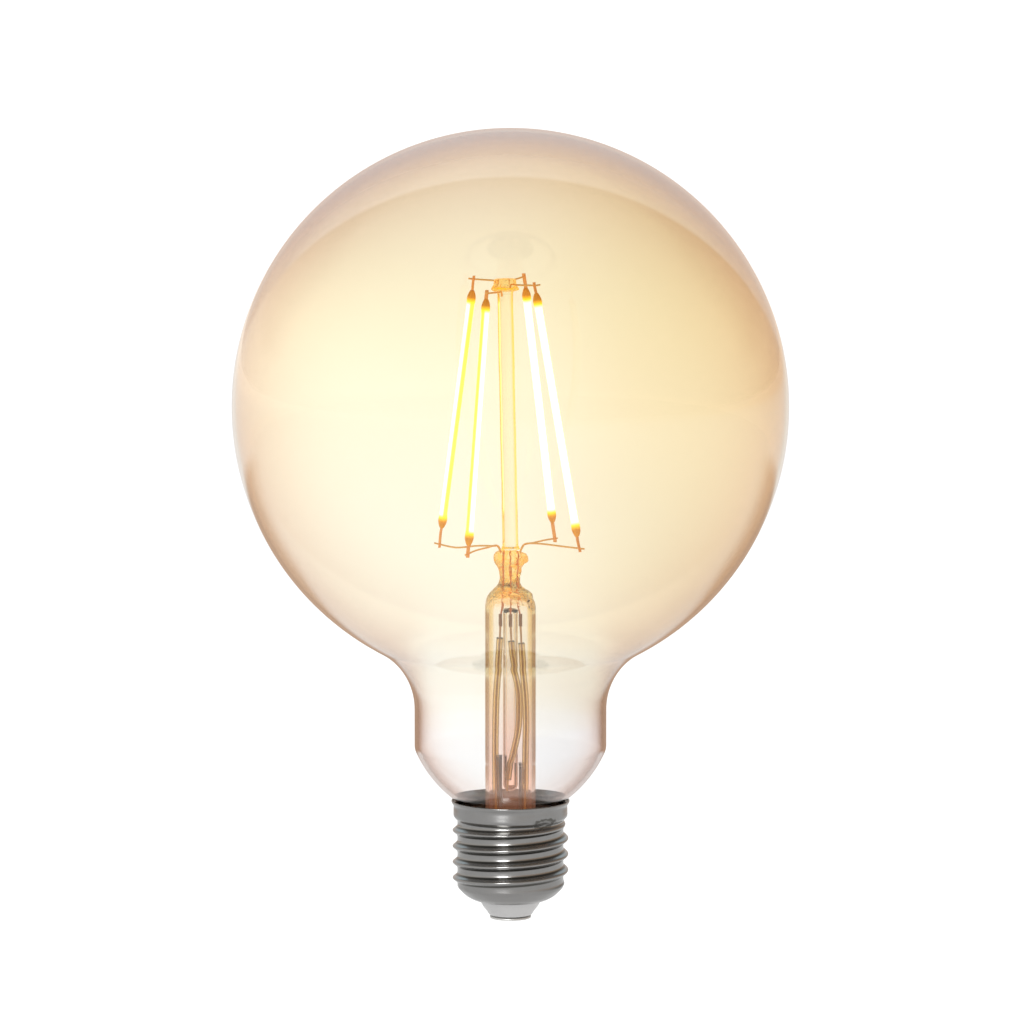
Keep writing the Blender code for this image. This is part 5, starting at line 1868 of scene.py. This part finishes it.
@dataclass
class Cap:
    """Screw shell with its rolled thread, insulator, contact and cement."""

    pitch: float = 3.629 * MM
    crest_radius: float = 13.1 * MM
    depth: float = 1.1 * MM
    thread_bottom: float = 7.4 * MM
    fade: float = 1.6 * MM
    crest_height: float = 18.26 * MM
    sharpness: float = 2.2
    wall: float = 0.3 * MM
    skirt_height: float = 4.7 * MM
    skirt_radius: float = 12.9 * MM
    rim_radius: float = 13.35 * MM
    stake_azimuth: float = math.radians(-52.0)
    stake_below_rim: float = 3.9 * MM
    segments: int = 144

    @property
    def rim(self) -> float:
        """Height of the shell's rim."""
        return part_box("screw_shell")[1].z

    @property
    def thread_top(self) -> float:
        """Height where the thread ends."""
        return self.rim - self.skirt_height

    @property
    def stake(self) -> Vector:
        """Middle of the mark where the shell is staked."""
        reach = self.skirt_radius
        flat = Vector((math.cos(self.stake_azimuth), math.sin(self.stake_azimuth), 0.0)) * reach
        return flat + Vector((0.0, 0.0, self.rim - self.stake_below_rim))

    def build(self) -> list[bpy.types.Object]:
        """Build the cap's pieces, and return those of metal."""
        stake = self.stake
        metal = ShellMetal(
            "shell_nickel",
            Slot.NICKEL_SHELL,
            (0.31, 0.308, 0.305),
            (0.26, 0.257, 0.25),
            0.22,
            0.12,
            1.0,
            patches=300.0,
            relief=0.01 * MM,
            root_radius=self.crest_radius - self.depth,
            crest_radius=self.crest_radius,
            stake=tuple(stake),
            thread_top=self.thread_top,
        )
        shell = self.shell(metal)
        rolled = hand_over("screw_shell_rolled", shell, metal, "screw_shell")
        self.build_insulator()
        dress("cement_ring", CEMENT)
        return [rolled, self.build_contact()]

    def shell_side(self) -> Outline:
        """Outer side of the shell before the thread is rolled, from rim to mouth."""
        rim, skirt, root = self.rim, self.skirt_radius, self.crest_radius - self.depth
        top = [
            (self.rim_radius - 0.12 * MM, rim - 0.02 * MM),
            (self.rim_radius, rim - 0.12 * MM),
            (self.rim_radius - 0.02 * MM, rim - 0.45 * MM),
            (self.rim_radius - 0.22 * MM, rim - 0.8 * MM),
            (skirt, rim - 1.2 * MM),
            (skirt, rim - 2.4 * MM),
            (skirt, rim - 3.4 * MM),
            (skirt - 0.12 * MM, rim - 3.75 * MM),
            (root + 0.35 * MM, rim - 4.25 * MM),
            (root + 0.05 * MM, rim - 4.6 * MM),
        ]
        side = eased(top, 0.12 * MM)
        rings = 96
        run = self.thread_top - self.thread_bottom
        side += [(root, self.thread_top - run * i / rings) for i in range(1, rings)]
        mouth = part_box("screw_shell")[0].z
        low = [
            (root, self.thread_bottom),
            (root - 0.25 * MM, self.thread_bottom - 0.5 * MM),
            (10.9 * MM, 6.0 * MM),
            (10.1 * MM, 5.3 * MM),
            (9.2 * MM, 4.75 * MM),
            (8.2 * MM, mouth + 0.12 * MM),
            (7.55 * MM, mouth + 0.02 * MM),
        ]
        return side + eased(low, 0.15 * MM)

    def shell(self, metal: Finish) -> bpy.types.Mesh:
        """Turn the shell, roll its thread and stake it.

        Args:
            metal: its finish.

        Returns:
            The finished mesh.
        """
        outer = self.shell_side()
        inner = []
        for before, point, after in zip([outer[0]] + outer, outer, outer[1:] + [outer[-1]]):
            run, drop = after[0] - before[0], after[1] - before[1]
            size = math.hypot(run, drop)
            inner.append((point[0] + self.wall * drop / size, point[1] - self.wall * run / size))
        blank = lathe("shell", outer + inner[::-1], self.segments, closed=True)
        values = {
            "Pitch": self.pitch,
            "Depth": self.depth,
            "Bottom": self.thread_bottom,
            "Top": self.thread_top,
            "Fade": self.fade,
            "Crest Height": self.crest_height,
            "Sharpness": self.sharpness,
            "Material": metal.material(),
        }
        rolled = grown("screw_shell", blank, thread_tree(), values)
        stake = self.stake
        for vertex in rolled.vertices:
            gap = vertex.co - stake
            near = math.exp(-((gap.xy.length / (2.2 * MM)) ** 2) - (gap.z / (0.8 * MM)) ** 2)
            rough = 0.75 + 0.5 * noise.noise(vertex.co * 1500.0)
            vertex.co -= Vector((stake.x, stake.y, 0.0)).normalized() * near * rough * 0.45 * MM
        rolled.update()
        return rolled

    def build_insulator(self) -> None:
        """Build the grey insulator cone with its moulded step and bore."""
        low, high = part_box("cap_insulator")
        bore, step = 1.1 * MM, 1.6 * MM
        seat = high.z - step
        points = [
            (bore, high.z), (8.5 * MM, high.z), (8.7 * MM, high.z - 0.2 * MM), (8.7 * MM, seat + 0.8 * MM),
            (7.25 * MM, seat), (7.2 * MM, seat - 0.3 * MM), (7.1 * MM, seat - 0.55 * MM), (6.2 * MM, 2.7 * MM),
            (5.3 * MM, 1.55 * MM), (4.95 * MM, 0.95 * MM), (4.86 * MM, low.z + 0.06 * MM), (4.7 * MM, low.z),
            (bore, low.z),
        ]
        mesh = lathe("insulator", points, 96, closed=True)
        hand_over("insulator_cone", mesh, INSULATOR, "cap_insulator")

    def build_contact(self) -> bpy.types.Object:
        """Build the contact disc, dished in the middle round its drop of solder."""
        low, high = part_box("centre_contact")
        edge = high.x
        points = [
            (0.0, high.z), (edge - 0.1 * MM, high.z), (edge, high.z - 0.08 * MM), (edge, low.z + 0.16 * MM),
            (edge - 0.12 * MM, low.z + 0.02 * MM), (edge - 0.4 * MM, low.z), (3.0 * MM, low.z),
            (2.7 * MM, low.z + 0.12 * MM), (1.7 * MM, low.z + 0.14 * MM), (1.45 * MM, low.z + 0.05 * MM),
            (0.8 * MM, low.z + 0.01 * MM), (0.0, low.z),
        ]
        mesh = lathe("contact", points, 96)
        return hand_over("contact_disc", mesh, CONTACT, "centre_contact")


# ---- Boards ----------------------------------------------------------------------------------------


@dataclass
class Electronics:
    """Driver and radio boards in the cap, with their parts."""

    wire_gauge: float = 0.18 * MM
    choke_bore: float = 1.15 * MM

    def stand(self, node: str) -> tuple[Matrix, float, float]:
        """Frame along a round part's axis.

        Args:
            node: its CAD node.

        Returns:
            The frame at its middle with Z along it, half its length and its radius.
        """
        low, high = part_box(node)
        sides = list(high - low)
        across = sorted(sides)[1]
        axis = max(range(3), key=lambda k: abs(sides[k] - across))
        along, front = (Vector([float(k == turn) for k in range(3)]) for turn in (axis, (axis + 1) % 3))
        return frame_along((low + high) / 2.0, along, front), sides[axis] / 2.0, across / 2.0

    def turned(self, name: str, node: str, half_outline: Outline, finish: Finish) -> None:
        """Build a round part from an outline.

        Args:
            name: name of the piece.
            node: the CAD node that it replaces.
            half_outline: (share of the radius, mm in from the nearer end) from the top, minus for the lower end.
            finish: its finish.
        """
        place, half, radius = self.stand(node)
        points = [
            (share * radius, half - inset * MM if math.copysign(1.0, inset) > 0.0 else -half - inset * MM)
            for share, inset in half_outline
        ]
        outline = eased(points, 0.12 * MM)
        outline[0], outline[-1] = (0.0, outline[0][1]), (0.0, outline[-1][1])
        hand_over(name, moved(lathe(name, outline, 48), place), finish, node)

    def build_capacitor(self) -> None:
        """Build the smoothing capacitor, with the crimp in its sleeved can and the score in its lid."""
        outline = [
            (0.0, 0.18), (0.25, 0.16), (0.55, 0.14), (0.78, 0.12), (0.84, 0.02), (0.93, 0.03), (1.0, 0.3), (1.0, 1.2),
            (1.0, 3.0), (1.0, -2.6), (0.995, -1.9), (0.9, -1.5), (0.995, -1.1), (0.99, -0.4), (0.93, -0.05),
            (0.84, -0.03), (0.78, -0.25), (0.4, -0.28), (0.0, -0.28),
        ]
        self.turned("capacitor_can", "smoothing_capacitor", outline, CHIP)

    def build_resistor(self) -> None:
        """Build the fusible resistor, dipped so that it is fuller over its end caps."""
        outline = [
            (0.0, 0.02), (0.5, 0.02), (0.85, 0.12), (0.99, 0.4), (1.0, 0.9), (0.9, 1.4), (0.85, 2.0), (0.85, -2.0),
            (0.9, -1.4), (1.0, -0.9), (0.99, -0.4), (0.85, -0.12), (0.5, -0.02), (0.0, -0.02),
        ]
        place, half, _ = self.stand("fusible_resistor")
        middle = place.translation.z
        colours = ((0.45, 0.2, 0.06), (0.02, 0.02, 0.02), (0.6, 0.42, 0.06), (0.5, 0.5, 0.5))
        bands = tuple((middle + half * share, colour) for share, colour in zip((0.6, 0.22, -0.14, -0.6), colours))
        dipped = Banded(
            "dipped_body", Slot.CERAMIC, (0.22, 0.36, 0.42), (0.18, 0.30, 0.36), 0.35, patches=900.0, bands=bands
        )
        self.turned("resistor_body", "fusible_resistor", outline, dipped)

    def build_winding(self) -> None:
        """Build the choke's winding, with its turns side by side."""
        place, half, radius = self.stand("choke_winding")
        turns = int(2.0 * half / self.wire_gauge)
        gauge = 2.0 * half / turns
        outline = [(self.choke_bore, half)]
        for turn in range(turns):
            for step in range(6):
                angle = math.pi * step / 6.0
                lift = gauge / 2.0 * math.sin(angle)
                outline.append((radius - gauge / 2.0 + lift, half - gauge * (turn + (1.0 - math.cos(angle)) / 2.0)))
        outline += [(radius - gauge / 2.0, -half), (self.choke_bore, -half)]
        mesh = lathe("winding", outline, 56, closed=True)
        hand_over("choke_turns", moved(mesh, place), ENAMEL_COPPER, "choke_winding")

    def build(self) -> None:
        """Dress the boards and build their parts."""
        dress("driver_board", BOARD)
        dress("radio_board", BOARD)
        for node in ("driver_chip", "bridge_rectifier"):
            dress(node, CHIP)
        dress("radio_shield", SHIELD)
        dress("chip_antenna", CERAMIC)
        self.build_resistor()
        self.build_capacitor()
        dress("choke_core", FERRITE)
        self.build_winding()
        for node in ("live_wire", "neutral_wire", "board_pin_1", "board_pin_2", "board_pin_3"):
            dress(node, ENAMEL_COPPER)


# ---- Lamp ------------------------------------------------------------------------------------------


def main() -> None:
    """Build the studio and the lamp, from its cap up."""
    logging.basicConfig(level=logging.INFO, format="%(name)s: %(message)s")
    studio = Studio()
    studio.build()
    studio.light_cap(Cap().build())
    Envelope().build()
    Stem().build()
    Rod().build()
    filaments = [Filament(1, -25.0), Filament(2, 190.0), Filament(3, 80.0), Filament(4, 60.0)]
    for filament in filaments:
        filament.build()
    Leads(filaments).build()
    StemWires().build()
    Electronics().build()


if __name__ == "__main__":
    main()
